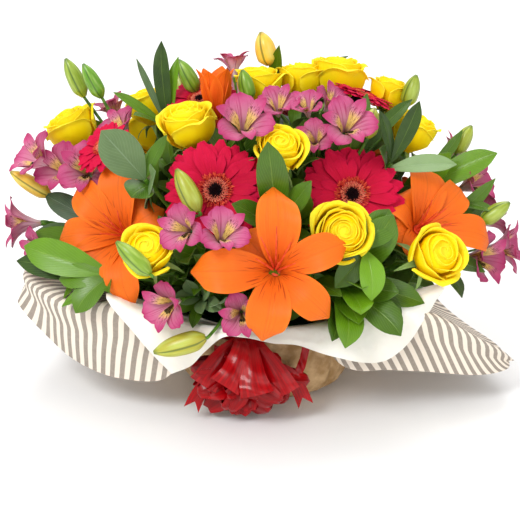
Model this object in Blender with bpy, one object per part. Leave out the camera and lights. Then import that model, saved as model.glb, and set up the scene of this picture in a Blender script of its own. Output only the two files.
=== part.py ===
"""Flower arrangement: lilies, gerberas, roses and alstroemeria in a paper-wrapped bowl of foam.

Sizes are in millimetres and become metres when a mesh is made. The origin is the middle of
the base, on the floor. The front of the arrangement faces -Y.

A place on the dome is given by turn (degrees round Z from +X), lift (degrees above level)
and reach (distance), all taken from HUB.
"""
import math
from typing import NamedTuple

import bmesh
import bpy
from mathutils import Matrix, Vector

MM = 0.001
UP = Vector((0.0, 0.0, 1.0))
HUB = Vector((0.0, 0.0, 75.0))
GAP = 0.3
SCRAP_FACES = 9

# Bowl, foam and paper cup
KRAFT_PROFILE = ((60, 0), (78, 6), (86, 18), (90, 40), (93, 70), (96, 84))
KRAFT_WALL = 1.2
KRAFT_FOLDS = 7
KRAFT_FOLD_DEPTH = 1.4
BOWL_PROFILE = ((52, 1.5), (72, 8), (80, 20), (84, 40), (86.5, 82))
BOWL_WALL = 2.0
FOAM_TOP = 86.0
FOAM_PROFILE = ((49.0, 3.8), (69.5, 10.2), (77.4, 21), (81.4, 41), (83.6, 82), (82.0, FOAM_TOP))
ROUND_SIDES = 18

# Stems stand in the foam
FOOT_SPREAD = 74.0
HOLE_DEPTH = 18.0
STEM_SIDES = 3
STEM_RADIUS = 2.4
BRANCH_RADIUS = 1.6
HOLE_SIDES = 4
HOLE_RADIUS = 3.9
LEAFY_NECK = 30.0
LEAFY_STEPS = 3

# Paper sheets
SHEET_WALL = 0.9
SHEET_COLUMNS = 28
SEAT_RADIUS = 90.0
BEND_RADIUS = 97.0
STRIPED_SEAT_Z = 84.2
WHITE_SEAT_Z = 87.0

# Ribbon
BAND_TOP = 83.0
BAND_RADIUS = 99.0
BAND_WIDTH = 7.0
RIBBON_WALL = 0.9
BOW_CENTRE = Vector((-18.0, -100.6, 43.0))


class Place(NamedTuple):
    """Where a bloom sits on the dome, and the way it faces."""

    turn: float
    lift: float
    reach: float
    face_turn: float
    face_lift: float
    spin: float = 0.0
    size: float = 1.0


class Leaf(NamedTuple):
    """One leaf: where along its stem it starts, the place of its tip, its width and its arch."""

    along: float
    turn: float
    lift: float
    reach: float
    width: float
    arch: float = 0.08
    roll: float = 0.0


class Bud(NamedTuple):
    """One bud: the place of its base, the way it points, and its size."""

    turn: float
    lift: float
    reach: float
    face_turn: float
    face_lift: float
    length: float = 42.0
    radius: float = 6.5


class SheetColumn(NamedTuple):
    """One column of a paper sheet: its ridge and its hanging edge, each turn, radius, height."""

    ridge: tuple
    edge: tuple


ROSES = {
    "rose_left_outer": Place(167, 39, 240, 172, 62, 10, 1.0),
    "rose_left_upper": Place(153, 54, 213, 140, 68, 40, 0.86),
    "rose_left_inner": Place(-151, 66, 195, -160, 78, 20, 1.0),
    "rose_left_low": Place(-130, 31, 184, -108, 45, 60, 0.9),
    "rose_crown_front": Place(-80, 68, 185, -83, 62, 15, 0.95),
    "rose_crown_back": Place(100, 80, 202, 95, 80, 50, 0.9),
    "rose_crown_middle": Place(55, 73, 205, 80, 72, 30, 0.75),
    "rose_crown_right": Place(37, 65, 213, 60, 76, 5, 0.9),
    "rose_right_upper": Place(22, 56, 228, 40, 66, 70, 0.75),
    "rose_right_outer": Place(9, 48, 211, 13, 66, 25, 0.85),
    "rose_front": Place(-56, 43, 157, -76, 30, 0, 1.0),
    "rose_right_low": Place(-34, 26, 196, -56, 32, 45, 1.0),
    "rose_back_left": Place(135, 38, 205, 135, 45, 20, 0.95),
    "rose_back_right": Place(47, 36, 205, 45, 42, 35, 0.95),
    "rose_back_low": Place(91, 24, 172, 91, 32, 50, 0.95),
}

GERBERAS = {
    "gerbera_left": Place(-120, 58, 173, -93, 28, 0, 0.98),
    "gerbera_right": Place(-32, 54, 163, -83, 31, 8, 1.0),
    "gerbera_top_left": Place(135, 64, 204, 125, 62, 0, 0.72),
    "gerbera_top_right": Place(49, 52, 228, 60, 60, 0, 0.75),
    "gerbera_far_left": Place(156, 30, 212, 150, 40, 0, 0.65),
    "gerbera_back": Place(92, 50, 196, 92, 48, 0, 0.95),
}

# Each lily lists the turn and the share of full length of its six petals
LILY_PETALS = {
    "lily_left": ((97, 0.95), (147, 0.95), (18, 0.58), (195, 0.95), (245, 0.75), (305, 0.85)),
    "lily_front": ((82, 1.05), (26, 0.66), (180, 1.1), (131, 0.7), (255, 0.9), (322, 0.9)),
    "lily_right": ((72, 0.9), (26, 0.95), (118, 0.6), (180, 0.5), (238, 0.5), (334, 1.1)),
    "lily_half_open": ((0, 0.8), (60, 0.8), (120, 0.8), (180, 0.8), (240, 0.8), (300, 0.8)),
    "lily_upper_right": ((0, 0.8), (60, 0.8), (120, 0.8), (180, 0.8), (240, 0.8), (300, 0.8)),
    "lily_back_left": ((10, 0.9), (70, 0.8), (130, 0.7), (190, 0.95), (250, 0.9), (310, 0.9)),
    "lily_back_right": ((30, 0.9), (90, 0.95), (150, 0.9), (210, 0.95), (270, 0.9), (330, 0.9)),
}
LILIES = {
    "lily_left": Place(-156, 35, 169, -112, 28),
    "lily_front": Place(-86, 34, 154, -88, 24),
    "lily_right": Place(-17, 32, 176, -56, 34),
    "lily_half_open": Place(-169, 76, 195, 100, 80),
    "lily_upper_right": Place(13, 50, 149, 8, 66, 0, 0.83),
    "lily_back_left": Place(143, 18, 177, 143, 26),
    "lily_back_right": Place(45, 16, 176, 46, 24),
}
HALF_OPEN = ("lily_half_open", "lily_upper_right")

# Each spray lists the place where it forks, then its blooms
SPRAYS = {
    "alstroemeria_left": (
        (-179, 36, 165),
        (Place(174, 33, 230, -110, 38), Place(-176, 42, 220, -82, 40), Place(176, 33, 248, -158, 41)),
    ),
    "alstroemeria_far_left": (
        (178, 20, 165),
        (Place(179, 21, 235, -171, 2), Place(-172, 19, 218, -150, 8, 30, 0.8)),
    ),
    "alstroemeria_centre": (
        (-110, 34, 136),
        (Place(-107, 42, 191, -76, 49), Place(-117, 42, 189, -117, 22, 20, 0.85)),
    ),
    "alstroemeria_crown": (
        (-100, 78, 150),
        (Place(-113, 76, 204, -85, 50, 10, 1.1), Place(-60, 85, 208, -90, 70, 30, 0.75)),
    ),
    "alstroemeria_crown_back": (
        (110, 66, 165),
        (Place(113, 70, 226, 111, 73, 0, 0.7), Place(107, 64, 205, 100, 60, 30, 0.85)),
    ),
    "alstroemeria_top_right": (
        (-30, 68, 145),
        (
            Place(-35, 76, 208, -108, 66, 0, 0.65),
            Place(-27, 68, 212, -82, 43, 20, 1.0),
            Place(3, 74, 206, -40, 56, 40, 0.7),
            Place(-41, 70, 191, -104, 40, 10, 0.7),
        ),
    ),
    "alstroemeria_top_left": (
        (168, 48, 165),
        (Place(153, 45, 233, 170, 66, 0, 0.75), Place(172, 51, 213, -160, 60, 30, 0.8)),
    ),
    "alstroemeria_right_upper": (
        (8, 28, 165),
        (Place(7, 30, 222, -30, 34, 0, 0.9), Place(17, 34, 220, 10, 40, 30, 0.9)),
    ),
    "alstroemeria_right_lower": (
        (-2, 15, 150),
        (Place(-5, 16, 204, -40, 12), Place(2, 14, 224, -15, 12, 30), Place(7, 20, 216, 20, 20, 10)),
    ),
    "alstroemeria_low_left": ((-122, 22, 115), (Place(-122, 21, 158, -122, 7, 0, 0.9),)),
    "alstroemeria_low_front": ((-99, 20, 110), (Place(-99, 20, 150, -90, 16, 20, 0.8),)),
    "alstroemeria_back_left": (
        (118, 30, 140),
        (Place(112, 38, 192, 110, 42), Place(119, 26, 184, 120, 20, 20), Place(109, 30, 178, 100, 14, 40)),
    ),
    "alstroemeria_back_right": (
        (70, 34, 140),
        (Place(63, 43, 196, 64, 44), Place(75, 36, 186, 76, 30, 20), Place(69, 27, 182, 66, 18, 40)),
    ),
}

# Each leafy stem: the place of its end, its leaves and its buds
LEAFY_STEMS = {
    "leaves_left_top": (
        (172, 62, 200),
        (
            Leaf(0.9, 165, 62, 276, 12),
            Leaf(0.9, 160, 70, 262, 12),
            Leaf(0.8, 177, 56, 262, 13),
            Leaf(0.7, -170, 58, 240, 15),
            Leaf(1.0, 162, 68, 282, 12),
        ),
        (Bud(157, 71, 224, 174, 62, 36),),
    ),
    "leaves_left_outer": (
        (166, 45, 193),
        (Leaf(0.9, 150, 36, 250, 13), Leaf(0.7, 156, 40, 262, 15), Leaf(0.6, -174, 50, 238, 14)),
        (Bud(164, 47, 274, 175, 66), Bud(167, 51, 262, 177, 63, 38, 6)),
    ),
    "leaves_left_low": (
        (-170, 30, 178),
        (
            Leaf(0.95, 177, 27, 245, 18),
            Leaf(0.85, -158, 17, 225, 18),
            Leaf(0.6, -162, 15, 212, 16),
            Leaf(0.5, -153, 15, 200, 15),
        ),
        (Bud(176, 27, 240, -178, 34, 46),),
    ),
    "leaves_left_front": (
        (-154, 45, 182),
        (
            Leaf(0.95, -136, 51, 222, 20),
            Leaf(0.85, -143, 49, 206, 15, 0.05),
            Leaf(0.8, -162, 58, 210, 14),
            Leaf(0.6, -167, 44, 203, 18),
        ),
        (Bud(-128, 47, 214, -150, 68, 40),),
    ),
    "leaves_centre": (
        (-84, 50, 156),
        (
            Leaf(0.95, -92, 60, 208, 20),
            Leaf(0.9, -104, 50, 196, 14),
            Leaf(0.9, -90, 53, 200, 12),
            Leaf(0.95, -68, 56, 200, 17),
        ),
        (),
    ),
    "leaves_crown": (
        (85, 66, 200),
        (Leaf(0.9, 47, 62, 262, 14), Leaf(0.85, 75, 78, 258, 13)),
        (Bud(124, 74, 218, 150, 74, 34, 6), Bud(86, 71, 248, 110, 76, 34, 8)),
    ),
    "leaves_right_top": (
        (-20, 62, 186),
        (
            Leaf(0.95, 8, 55, 252, 16),
            Leaf(0.85, -22, 65, 214, 15),
            Leaf(0.8, -2, 66, 240, 13),
        ),
        (Bud(13, 55, 252, 12, 70, 32), Bud(-16, 62, 226, 60, 55, 32)),
    ),
    "leaves_right_outer": (
        (3, 38, 195),
        (
            Leaf(0.7, -3, 42, 242, 18),
            Leaf(0.9, 6, 42, 262, 13),
            Leaf(0.95, 0, 35, 276, 16),
            Leaf(0.85, -7, 25, 252, 13),
        ),
        (Bud(8, 41, 247, 11, 62, 32), Bud(-6, 24, 232, 0, 38, 34)),
    ),
    "leaves_right_low": (
        (-50, 29, 138),
        (
            Leaf(0.95, -44, 40, 212, 18),
            Leaf(0.9, -58, 24, 184, 17),
            Leaf(0.8, -45, 10, 182, 19),
            Leaf(0.8, -36, 14, 190, 15),
            Leaf(0.7, -60, 14, 176, 18),
        ),
        (),
    ),
    "leaves_low_left": (
        (-110, 22, 128),
        (Leaf(0.95, -106, 22, 172, 16), Leaf(0.9, -113, 31, 168, 13)),
        (Bud(-111, 10, 156, -174, -15, 50, 8),),
    ),
    "leaves_back_left": (
        (128, 44, 160),
        (
            Leaf(0.95, 141, 54, 235, 24),
            Leaf(0.9, 124, 48, 225, 22),
            Leaf(0.8, 172, 24, 212, 22),
            Leaf(0.7, 128, 12, 205, 22),
            Leaf(0.6, 140, 10, 195, 20),
        ),
        (Bud(128, 54, 218, 130, 60),),
    ),
    "leaves_back_right": (
        (54, 46, 156),
        (
            Leaf(0.95, 40, 44, 190, 22),
            Leaf(0.9, 74, 54, 225, 22),
            Leaf(0.8, 30, 38, 222, 22),
            Leaf(0.7, 62, 10, 200, 22),
            Leaf(0.6, 22, 14, 200, 20),
        ),
        (),
    ),
}

LEAF_OUTLINE = ((0.0, 0.0), (0.35, 0.48), (0.72, 0.42), (1.0, 0.0))
LEAF_WALL = 1.3
BUD_SIDES = 6
BUD_RINGS = ((0.75, 0.75), (1.0, 0.45), (0.7, 0.14))

# Paper sheets, by hand, from the left edge round the front to the right
WHITE_SHEET = (
    SheetColumn((-145, 181, 130), (-127, 147, 52)),
    SheetColumn((-136, 165, 118), (-119, 143, 65)),
    SheetColumn((-126, 145, 108), (-113, 142, 82)),
    SheetColumn((-114, 132, 104), (-106, 140, 98)),
    SheetColumn((-102, 126, 103), (-98, 139, 99)),
    SheetColumn((-90, 124, 103), (-88, 138, 94)),
    SheetColumn((-78, 124, 103), (-76, 139, 89)),
    SheetColumn((-66, 128, 104), (-64, 147, 77)),
    SheetColumn((-55, 138, 108), (-55, 157, 69)),
    SheetColumn((-47, 150, 113), (-49, 162, 66)),
    SheetColumn((-40, 162, 118), (-44, 167, 69)),
    SheetColumn((-33, 174, 124), (-39, 174, 81)),
    SheetColumn((-27, 185, 130), (-34, 180, 100)),
)
STRIPED_SHEET = (
    SheetColumn((-172, 226, 121), (-172, 246, 88)),
    SheetColumn((-164, 220, 119), (-164, 222, 62)),
    SheetColumn((-154, 200, 115), (-154, 194, 45)),
    SheetColumn((-144, 170, 118), (-144, 170, 39)),
    SheetColumn((-132, 138, 100), (-132, 144, 42)),
    SheetColumn((-118, 112, 92), (-118, 118, 84)),
    SheetColumn((-90, 108, 92), (-90, 112, 88)),
    SheetColumn((-68, 110, 92), (-68, 116, 84)),
    SheetColumn((-56, 122, 96), (-56, 134, 56)),
    SheetColumn((-43, 146, 104), (-43, 156, 50)),
    SheetColumn((-33, 178, 110), (-33, 182, 46)),
    SheetColumn((-21, 226, 70), (-21, 228, 34)),
    SheetColumn((-14, 240, 44), (-14, 250, 33)),
    SheetColumn((-4, 226, 38), (-4, 236, 30)),
    SheetColumn((20, 190, 46), (20, 204, 30)),
    SheetColumn((60, 176, 108), (60, 184, 64)),
    SheetColumn((90, 170, 108), (90, 178, 68)),
    SheetColumn((120, 176, 108), (120, 184, 66)),
    SheetColumn((150, 190, 112), (150, 198, 68)),
    SheetColumn((174, 214, 118), (174, 226, 76)),
)

COLOURS = {
    "lily": ((0.98, 0.20, 0.01), 0.45),
    "gerbera": ((0.68, 0.0, 0.03), 0.55),
    "rose": ((1.0, 0.72, 0.01), 0.5),
    "alstroemeria": ((0.60, 0.06, 0.20), 0.5),
    "leaf": ((0.10, 0.28, 0.02), 0.5),
    "kraft": ((0.38, 0.22, 0.10), 0.85),
    "white_paper": ((0.94, 0.92, 0.86), 0.8),
    "striped_paper": ((0.48, 0.42, 0.35), 0.8),
    "ribbon": ((0.45, 0.0, 0.01), 0.25),
    "bowl": ((0.03, 0.08, 0.03), 0.45),
    "foam": ((0.05, 0.20, 0.07), 0.95),
}


def direction(turn, lift):
    """Unit vector at turn degrees round Z and lift degrees above level."""
    turn_rad, lift_rad = math.radians(turn), math.radians(lift)
    level = math.cos(lift_rad)
    return Vector((level * math.cos(turn_rad), level * math.sin(turn_rad), math.sin(lift_rad)))


def place_point(turn, lift, reach):
    """Point of the dome at the given turn, lift and reach."""
    return HUB + direction(turn, lift) * reach


def cylinder_point(turn, radius, height):
    """Point at turn degrees, radius and height round the Z axis."""
    angle = math.radians(turn)
    return Vector((radius * math.cos(angle), radius * math.sin(angle), height))


def frame_matrix(origin, axis, spin=0.0):
    """Frame at origin with local Z along axis, local Y as near to up as it goes, then spun."""
    z_axis = axis.normalized()
    side = UP.cross(z_axis)
    if side.length < 0.05:
        side = Vector((1.0, 0.0, 0.0)) - z_axis * z_axis.x
    x_axis = side.normalized()
    y_axis = z_axis.cross(x_axis)
    turned = Matrix((x_axis, y_axis, z_axis)).transposed().to_4x4()
    return Matrix.Translation(origin) @ turned @ Matrix.Rotation(math.radians(spin), 4, "Z")


def moved(solid, matrix):
    """The solid with its points carried by a matrix."""
    points, faces = solid
    return [matrix @ point for point in points], faces


def row_normal(rows, row, column):
    """Normal of a grid of points at one of them."""
    before, after = rows[row - 1], rows[row + 1]
    here = rows[row]
    along = after[min(column, len(after) - 1)] - before[min(column, len(before) - 1)]
    across = here[min(column + 1, len(here) - 1)] - here[max(column - 1, 0)]
    return along.cross(across).normalized()


def blade(rows, thickness):
    """Closed blade from rows of points: thick inside, sharp at its edges.

    The first row is one point, the last row is one point or a full rim row.
    Both faces are cut into triangles alike.
    """
    points = []
    top = []
    under = []
    for number, row in enumerate(rows):
        on_end = number in (0, len(rows) - 1)
        top_row, under_row = [], []
        for column, point in enumerate(row):
            if on_end or column in (0, len(row) - 1):
                points.append(point)
                top_row.append(len(points) - 1)
                under_row.append(len(points) - 1)
                continue
            shift = row_normal(rows, number, column) * (thickness / 2)
            points.extend((point + shift, point - shift))
            top_row.append(len(points) - 2)
            under_row.append(len(points) - 1)
        top.append(top_row)
        under.append(under_row)
    faces = strip_faces(top, False) + strip_faces(under, True)
    return points, faces


def strip_faces(rows, flip):
    """Triangles between rows of point numbers; a row of one point makes a fan."""
    faces = []
    for lower, upper in zip(rows, rows[1:]):
        for step in range(max(len(lower), len(upper)) - 1):
            corner_a = lower[min(step, len(lower) - 1)]
            corner_b = lower[min(step + 1, len(lower) - 1)]
            corner_c = upper[min(step + 1, len(upper) - 1)]
            corner_d = upper[min(step, len(upper) - 1)]
            for face in ((corner_a, corner_b, corner_c), (corner_a, corner_c, corner_d)):
                if len(set(face)) == 3:
                    faces.append(face[::-1] if flip else face)
    return faces


def tube(path, radii, sides):
    """Closed tube along a path, with a flat cap at each end."""
    points = []
    rings = []
    side = None
    for number, point in enumerate(path):
        before = path[max(number - 1, 0)]
        after = path[min(number + 1, len(path) - 1)]
        ahead = (after - before).normalized()
        side = side or ahead.orthogonal()
        side = (side - ahead * side.dot(ahead)).normalized()
        other = ahead.cross(side)
        ring = []
        for step in range(sides):
            angle = 2 * math.pi * step / sides
            points.append(point + (side * math.cos(angle) + other * math.sin(angle)) * radii[number])
            ring.append(len(points) - 1)
        rings.append(ring)
    return points, ring_faces(rings)


def ring_faces(rings):
    """Triangles between closed rings of point numbers, and a flat cap at each end."""
    faces = strip_faces([ring + ring[:1] for ring in rings], False)
    return faces + [tuple(reversed(rings[0])), tuple(rings[-1])]


def turned(profile, sides):
    """Closed turned solid: rings from a profile of radius and height, a zero radius is a point."""
    points = []
    rings = []
    for radius, height in profile:
        if radius == 0:
            points.append(Vector((0.0, 0.0, height)))
            rings.append([len(points) - 1])
            continue
        rings.append(list(range(len(points), len(points) + sides)))
        points.extend(cylinder_point(360 * step / sides, radius, height) for step in range(sides))
    faces = []
    for lower, upper in zip(rings, rings[1:]):
        closed_lower = lower + lower[:1] if len(lower) > 1 else lower
        closed_upper = upper + upper[:1] if len(upper) > 1 else upper
        faces.extend(strip_faces([closed_lower, closed_upper], False))
    if len(rings[0]) > 1:
        faces.append(tuple(reversed(rings[0])))
    if len(rings[-1]) > 1:
        faces.append(tuple(rings[-1]))
    return points, faces


def thick_grid(rows, wall, closed_round):
    """Closed sheet from a grid of points: a second face lies wall below it along its normals."""
    count = len(rows[0])
    points = []
    top, under = [], []
    for number, row in enumerate(rows):
        top_row, under_row = [], []
        for column, point in enumerate(row):
            after_row = rows[min(number + 1, len(rows) - 1)]
            before_row = rows[max(number - 1, 0)]
            along = after_row[column] - before_row[column]
            if closed_round:
                across = row[(column + 1) % count] - row[column - 1]
            else:
                across = row[min(column + 1, count - 1)] - row[max(column - 1, 0)]
            shift = along.cross(across).normalized() * wall
            points.extend((point, point + shift))
            top_row.append(len(points) - 2)
            under_row.append(len(points) - 1)
        if closed_round:
            top_row.append(top_row[0])
            under_row.append(under_row[0])
        top.append(top_row)
        under.append(under_row)
    faces = strip_faces(top, True) + strip_faces(under, False)
    faces += strip_faces([top[0], under[0]], False) + strip_faces([top[-1], under[-1]], True)
    if not closed_round:
        for column, flip in ((0, True), (-1, False)):
            edges = [[row[column] for row in face] for face in (top, under)]
            faces += strip_faces(edges, flip)
    return points, faces


def make_object(name, solid, kind):
    """One object with its own material from points in millimetres and faces."""
    points, faces = solid
    mesh = bpy.data.meshes.new(name)
    mesh.from_pydata([point * MM for point in points], [], faces)
    shell = bmesh.new()
    shell.from_mesh(mesh)
    bmesh.ops.recalc_face_normals(shell, faces=shell.faces)
    if shell.calc_volume(signed=True) < 0:
        bmesh.ops.reverse_faces(shell, faces=shell.faces)
    shell.to_mesh(mesh)
    shell.free()
    piece = bpy.data.objects.new(name, mesh)
    bpy.context.scene.collection.objects.link(piece)
    colour, roughness = COLOURS[kind]
    material = bpy.data.materials.new(name + "_finish")
    material.use_nodes = True
    shader = material.node_tree.nodes["Principled BSDF"]
    shader.inputs["Base Color"].default_value = (*colour, 1.0)
    shader.inputs["Roughness"].default_value = roughness
    mesh.materials.append(material)
    return piece


def apply_boolean(piece, tools, operation, solver):
    """Run one Boolean of a collection of tools on the piece, apply it and remove the tools."""
    group = bpy.data.collections.new("tools")
    for tool in tools:
        group.objects.link(tool)
    modifier = piece.modifiers.new("join", "BOOLEAN")
    modifier.operation = operation
    modifier.operand_type = "COLLECTION"
    modifier.collection = group
    modifier.solver = solver
    graph = bpy.context.evaluated_depsgraph_get()
    result = bpy.data.meshes.new_from_object(piece.evaluated_get(graph))
    piece.modifiers.clear()
    piece.data = result
    for tool in tools:
        bpy.data.objects.remove(tool)
    bpy.data.collections.remove(group)


def drop_scraps(piece, smallest):
    """Remove loose shells that have fewer faces than smallest."""
    shell = bmesh.new()
    shell.from_mesh(piece.data)
    unseen = set(shell.faces)
    while unseen:
        island = {unseen.pop()}
        front = list(island)
        while front:
            for edge in front.pop().edges:
                fresh = [face for face in edge.link_faces if face in unseen]
                unseen.difference_update(fresh)
                island.update(fresh)
                front.extend(fresh)
        if len(island) < smallest:
            bmesh.ops.delete(shell, geom=list(island), context="FACES")
    shell.to_mesh(piece.data)
    shell.free()


def fuse(name, solids, kind):
    """Join closed solids that cross each other into one object."""
    piece = make_object(name, solids[0], kind)
    if len(solids) > 1:
        tools = [make_object(name + "_tool", solid, kind) for solid in solids[1:]]
        apply_boolean(piece, tools, "UNION", "MANIFOLD")
        drop_scraps(piece, SCRAP_FACES)
    return piece


def foot_point(turn, lift):
    """Where a stem enters the top of the foam."""
    flat = direction(turn, lift)
    return Vector((flat.x * FOOT_SPREAD, flat.y * FOOT_SPREAD, FOAM_TOP))


def stem_path(turn, lift, base, facing, neck=26.0, steps=2):
    """Points of a stem from its foot in the foam to the base of its bloom."""
    foot = foot_point(turn, lift)
    rise = foot + (UP * 0.55 + direction(turn, lift) * 0.45) * ((base - foot).length * 0.38)
    back = base - facing * neck
    path = [foot - UP * (HOLE_DEPTH - GAP), foot + UP * 1.0]
    for step in range(1, steps + 1):
        share = step / steps
        rest = 1 - share
        path.append(
            foot * rest**3 + rise * (3 * rest**2 * share) + back * (3 * rest * share**2) + base * share**3
        )
    return path


FEET = []


class Shell:
    """Closed surface made ring by ring, from the throat of a bloom down to its stem end."""

    def __init__(self):
        self.points = []
        self.faces = []

    def add(self, *points):
        """Add points and return their numbers."""
        self.points.extend(points)
        return list(range(len(self.points) - len(points), len(self.points)))

    def ring(self, count, radii, heights, twist=0.0):
        """Ring of points whose radius and height alternate between petal middles and gaps."""
        turns = [twist + 360 * step / count for step in range(count)]
        rim = [cylinder_point(turn, radii[step % 2], heights[step % 2]) for step, turn in enumerate(turns)]
        return self.add(*rim)

    def bridge(self, lower, upper, mirrored=False):
        """Triangles between two rings, or between a ring and a single point.

        The outer face of a petal is mirrored, so that both of its faces are cut alike.
        """
        closed_lower = lower + lower[:1] if len(lower) > 1 else lower
        closed_upper = upper + upper[:1] if len(upper) > 1 else upper
        rows = [closed_upper, closed_lower] if mirrored else [closed_lower, closed_upper]
        self.faces += strip_faces(rows, mirrored)

    def neck(self, loop, first_turn, height, radius):
        """Close a loop of many points down to a ring of stem points, and return that ring."""
        few = STEM_SIDES
        turns = [first_turn + 360 * (step + 0.5) / few for step in range(few)]
        small = self.add(*[cylinder_point(turn, radius, height) for turn in turns])
        count = len(loop)
        for number in range(count):
            after = loop[(number + 1) % count]
            here_end = small[number * few // count]
            next_end = small[(number + 1) * few // count % few]
            self.faces.append((loop[number], after, here_end))
            if here_end != next_end:
                self.faces.append((after, next_end, here_end))
        return small

    def place(self, matrix):
        """Carry every point so far by a matrix."""
        self.points = [matrix @ point for point in self.points]

    def stalk(self, ring, path, radius):
        """Carry a ring of stem points on along a path, and cap its end."""
        centre = sum((self.points[number] for number in ring), Vector()) / len(ring)
        side = (self.points[ring[0]] - centre).normalized()
        line = [centre] + list(path)
        for number in range(1, len(line)):
            after = line[min(number + 1, len(line) - 1)]
            ahead = (after - line[number - 1]).normalized()
            side = (side - ahead * side.dot(ahead)).normalized()
            turns = [Matrix.Rotation(2 * math.pi * step / len(ring), 3, -ahead) for step in range(len(ring))]
            fresh = self.add(*[line[number] + turn @ side * radius for turn in turns])
            self.bridge(ring, fresh)
            ring = fresh
        self.faces.append(tuple(ring))

    def solid(self):
        """Points and faces of the closed surface."""
        return self.points, self.faces


# Rose rings from the tip of the core to the hip: radii and heights at petal middle and at gap,
# then the ring's turn
ROSE_PETALS = 5
ROSE_RINGS = (
    ((9.0, 8.0), (33, 31), 0),
    ((6.0, 6.0), (14, 14), 7),
    ((14.5, 13.0), (20, 18), 14),
    ((16.0, 19.5), (33, 38), 14),
    ((16.5, 15.0), (18, 18), 14),
    ((10.0, 10.0), (8, 8), 32),
    ((23.0, 19.0), (13, 13), 50),
    ((29.0, 22.5), (33, 25), 50),
    ((25.0, 21.0), (11, 11), 50),
    ((8.0, 8.0), (-1, -1), 50),
)
ROSE_CORE_HEIGHT = 40.0
ROSE_HIP = -6.0


def rose_shell(size, stem_radius):
    """Two whorls of five cupped petals round a rolled core, and the ring where its stem starts."""
    shell = Shell()
    before = shell.add(UP * (ROSE_CORE_HEIGHT * size))
    last_height = ROSE_CORE_HEIGHT
    for radii, heights, turn in ROSE_RINGS:
        scaled = [radius * size for radius in radii], [height * size for height in heights]
        ring = shell.ring(2 * ROSE_PETALS, *scaled, turn)
        shell.bridge(before, ring, heights[0] < last_height)
        before = ring
        last_height = heights[0]
    return shell, shell.neck(before, ROSE_RINGS[-1][2], ROSE_HIP * size, stem_radius)


class PetalLayer(NamedTuple):
    """One layer of gerbera petals: radius and height of its root, gaps and tips."""

    root: tuple
    gap: tuple
    tip: tuple


GERBERA_PETALS = 18
GERBERA_FEW_PETALS = 16
GERBERA_TIP_SHARE = 0.36
GERBERA_WALL = 0.9
GERBERA_HIP = -8.0
GERBERA_BASE = 8.0
GERBERA_FULL_SIZE = 0.97
GERBERA_EYE_DIP = 9.0
GERBERA_EYE_RINGS = ((7.0, 11.5), (12.0, 10.5))
GERBERA_LAYERS = (
    PetalLayer((14.0, 9.5), (17.0, 10.5), (40.0, 15.0)),
    PetalLayer((14.0, 5.0), (21.0, 6.0), (50.0, 8.5)),
)


def gerbera_petals(shell, upper, under, layer, size):
    """Lobes between an upper and an under root ring: thick at the root, sharp at the tip."""
    count = len(upper)
    pitch = 360 / count
    gaps, lefts, rights = [], [], []
    for number in range(count):
        turn = pitch * number
        gaps += shell.add(cylinder_point(turn, layer.gap[0] * size, layer.gap[1] * size))
        for side, group in ((-1, lefts), (1, rights)):
            tip_turn = turn + pitch * (0.5 + side * GERBERA_TIP_SHARE)
            group += shell.add(cylinder_point(tip_turn, layer.tip[0] * size, layer.tip[1] * size))
    for number in range(count):
        after = (number + 1) % count
        left, right = lefts[number], rights[number]
        for ring, flip in ((upper, False), (under, True)):
            faces = (
                (ring[number], gaps[number], left),
                (ring[number], left, right),
                (ring[number], right, ring[after]),
                (ring[after], right, gaps[after]),
            )
            shell.faces += [face[::-1] if flip else face for face in faces]


def gerbera_shell(size, layers, stem_radius):
    """Petal layers below a raised eye, and the ring where the stem starts."""
    shell = Shell()
    count = GERBERA_PETALS if len(layers) > 1 else GERBERA_FEW_PETALS
    before = shell.add(UP * (GERBERA_EYE_DIP * size))
    for radius, height in GERBERA_EYE_RINGS:
        ring = shell.ring(count, (radius * size,) * 2, (height * size,) * 2)
        shell.bridge(before, ring)
        before = ring
    for layer in layers:
        radius, height = layer.root[0] * size, layer.root[1] * size
        upper = shell.ring(count, (radius,) * 2, (height + GERBERA_WALL,) * 2)
        under = shell.ring(count, (radius,) * 2, (height - GERBERA_WALL,) * 2)
        shell.bridge(before, upper)
        gerbera_petals(shell, upper, under, layer, size)
        before = under
    ring = shell.ring(count, (GERBERA_BASE * size,) * 2, (0.0,) * 2)
    shell.bridge(before, ring)
    return shell, shell.neck(ring, 0.0, GERBERA_HIP * size, stem_radius)


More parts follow.
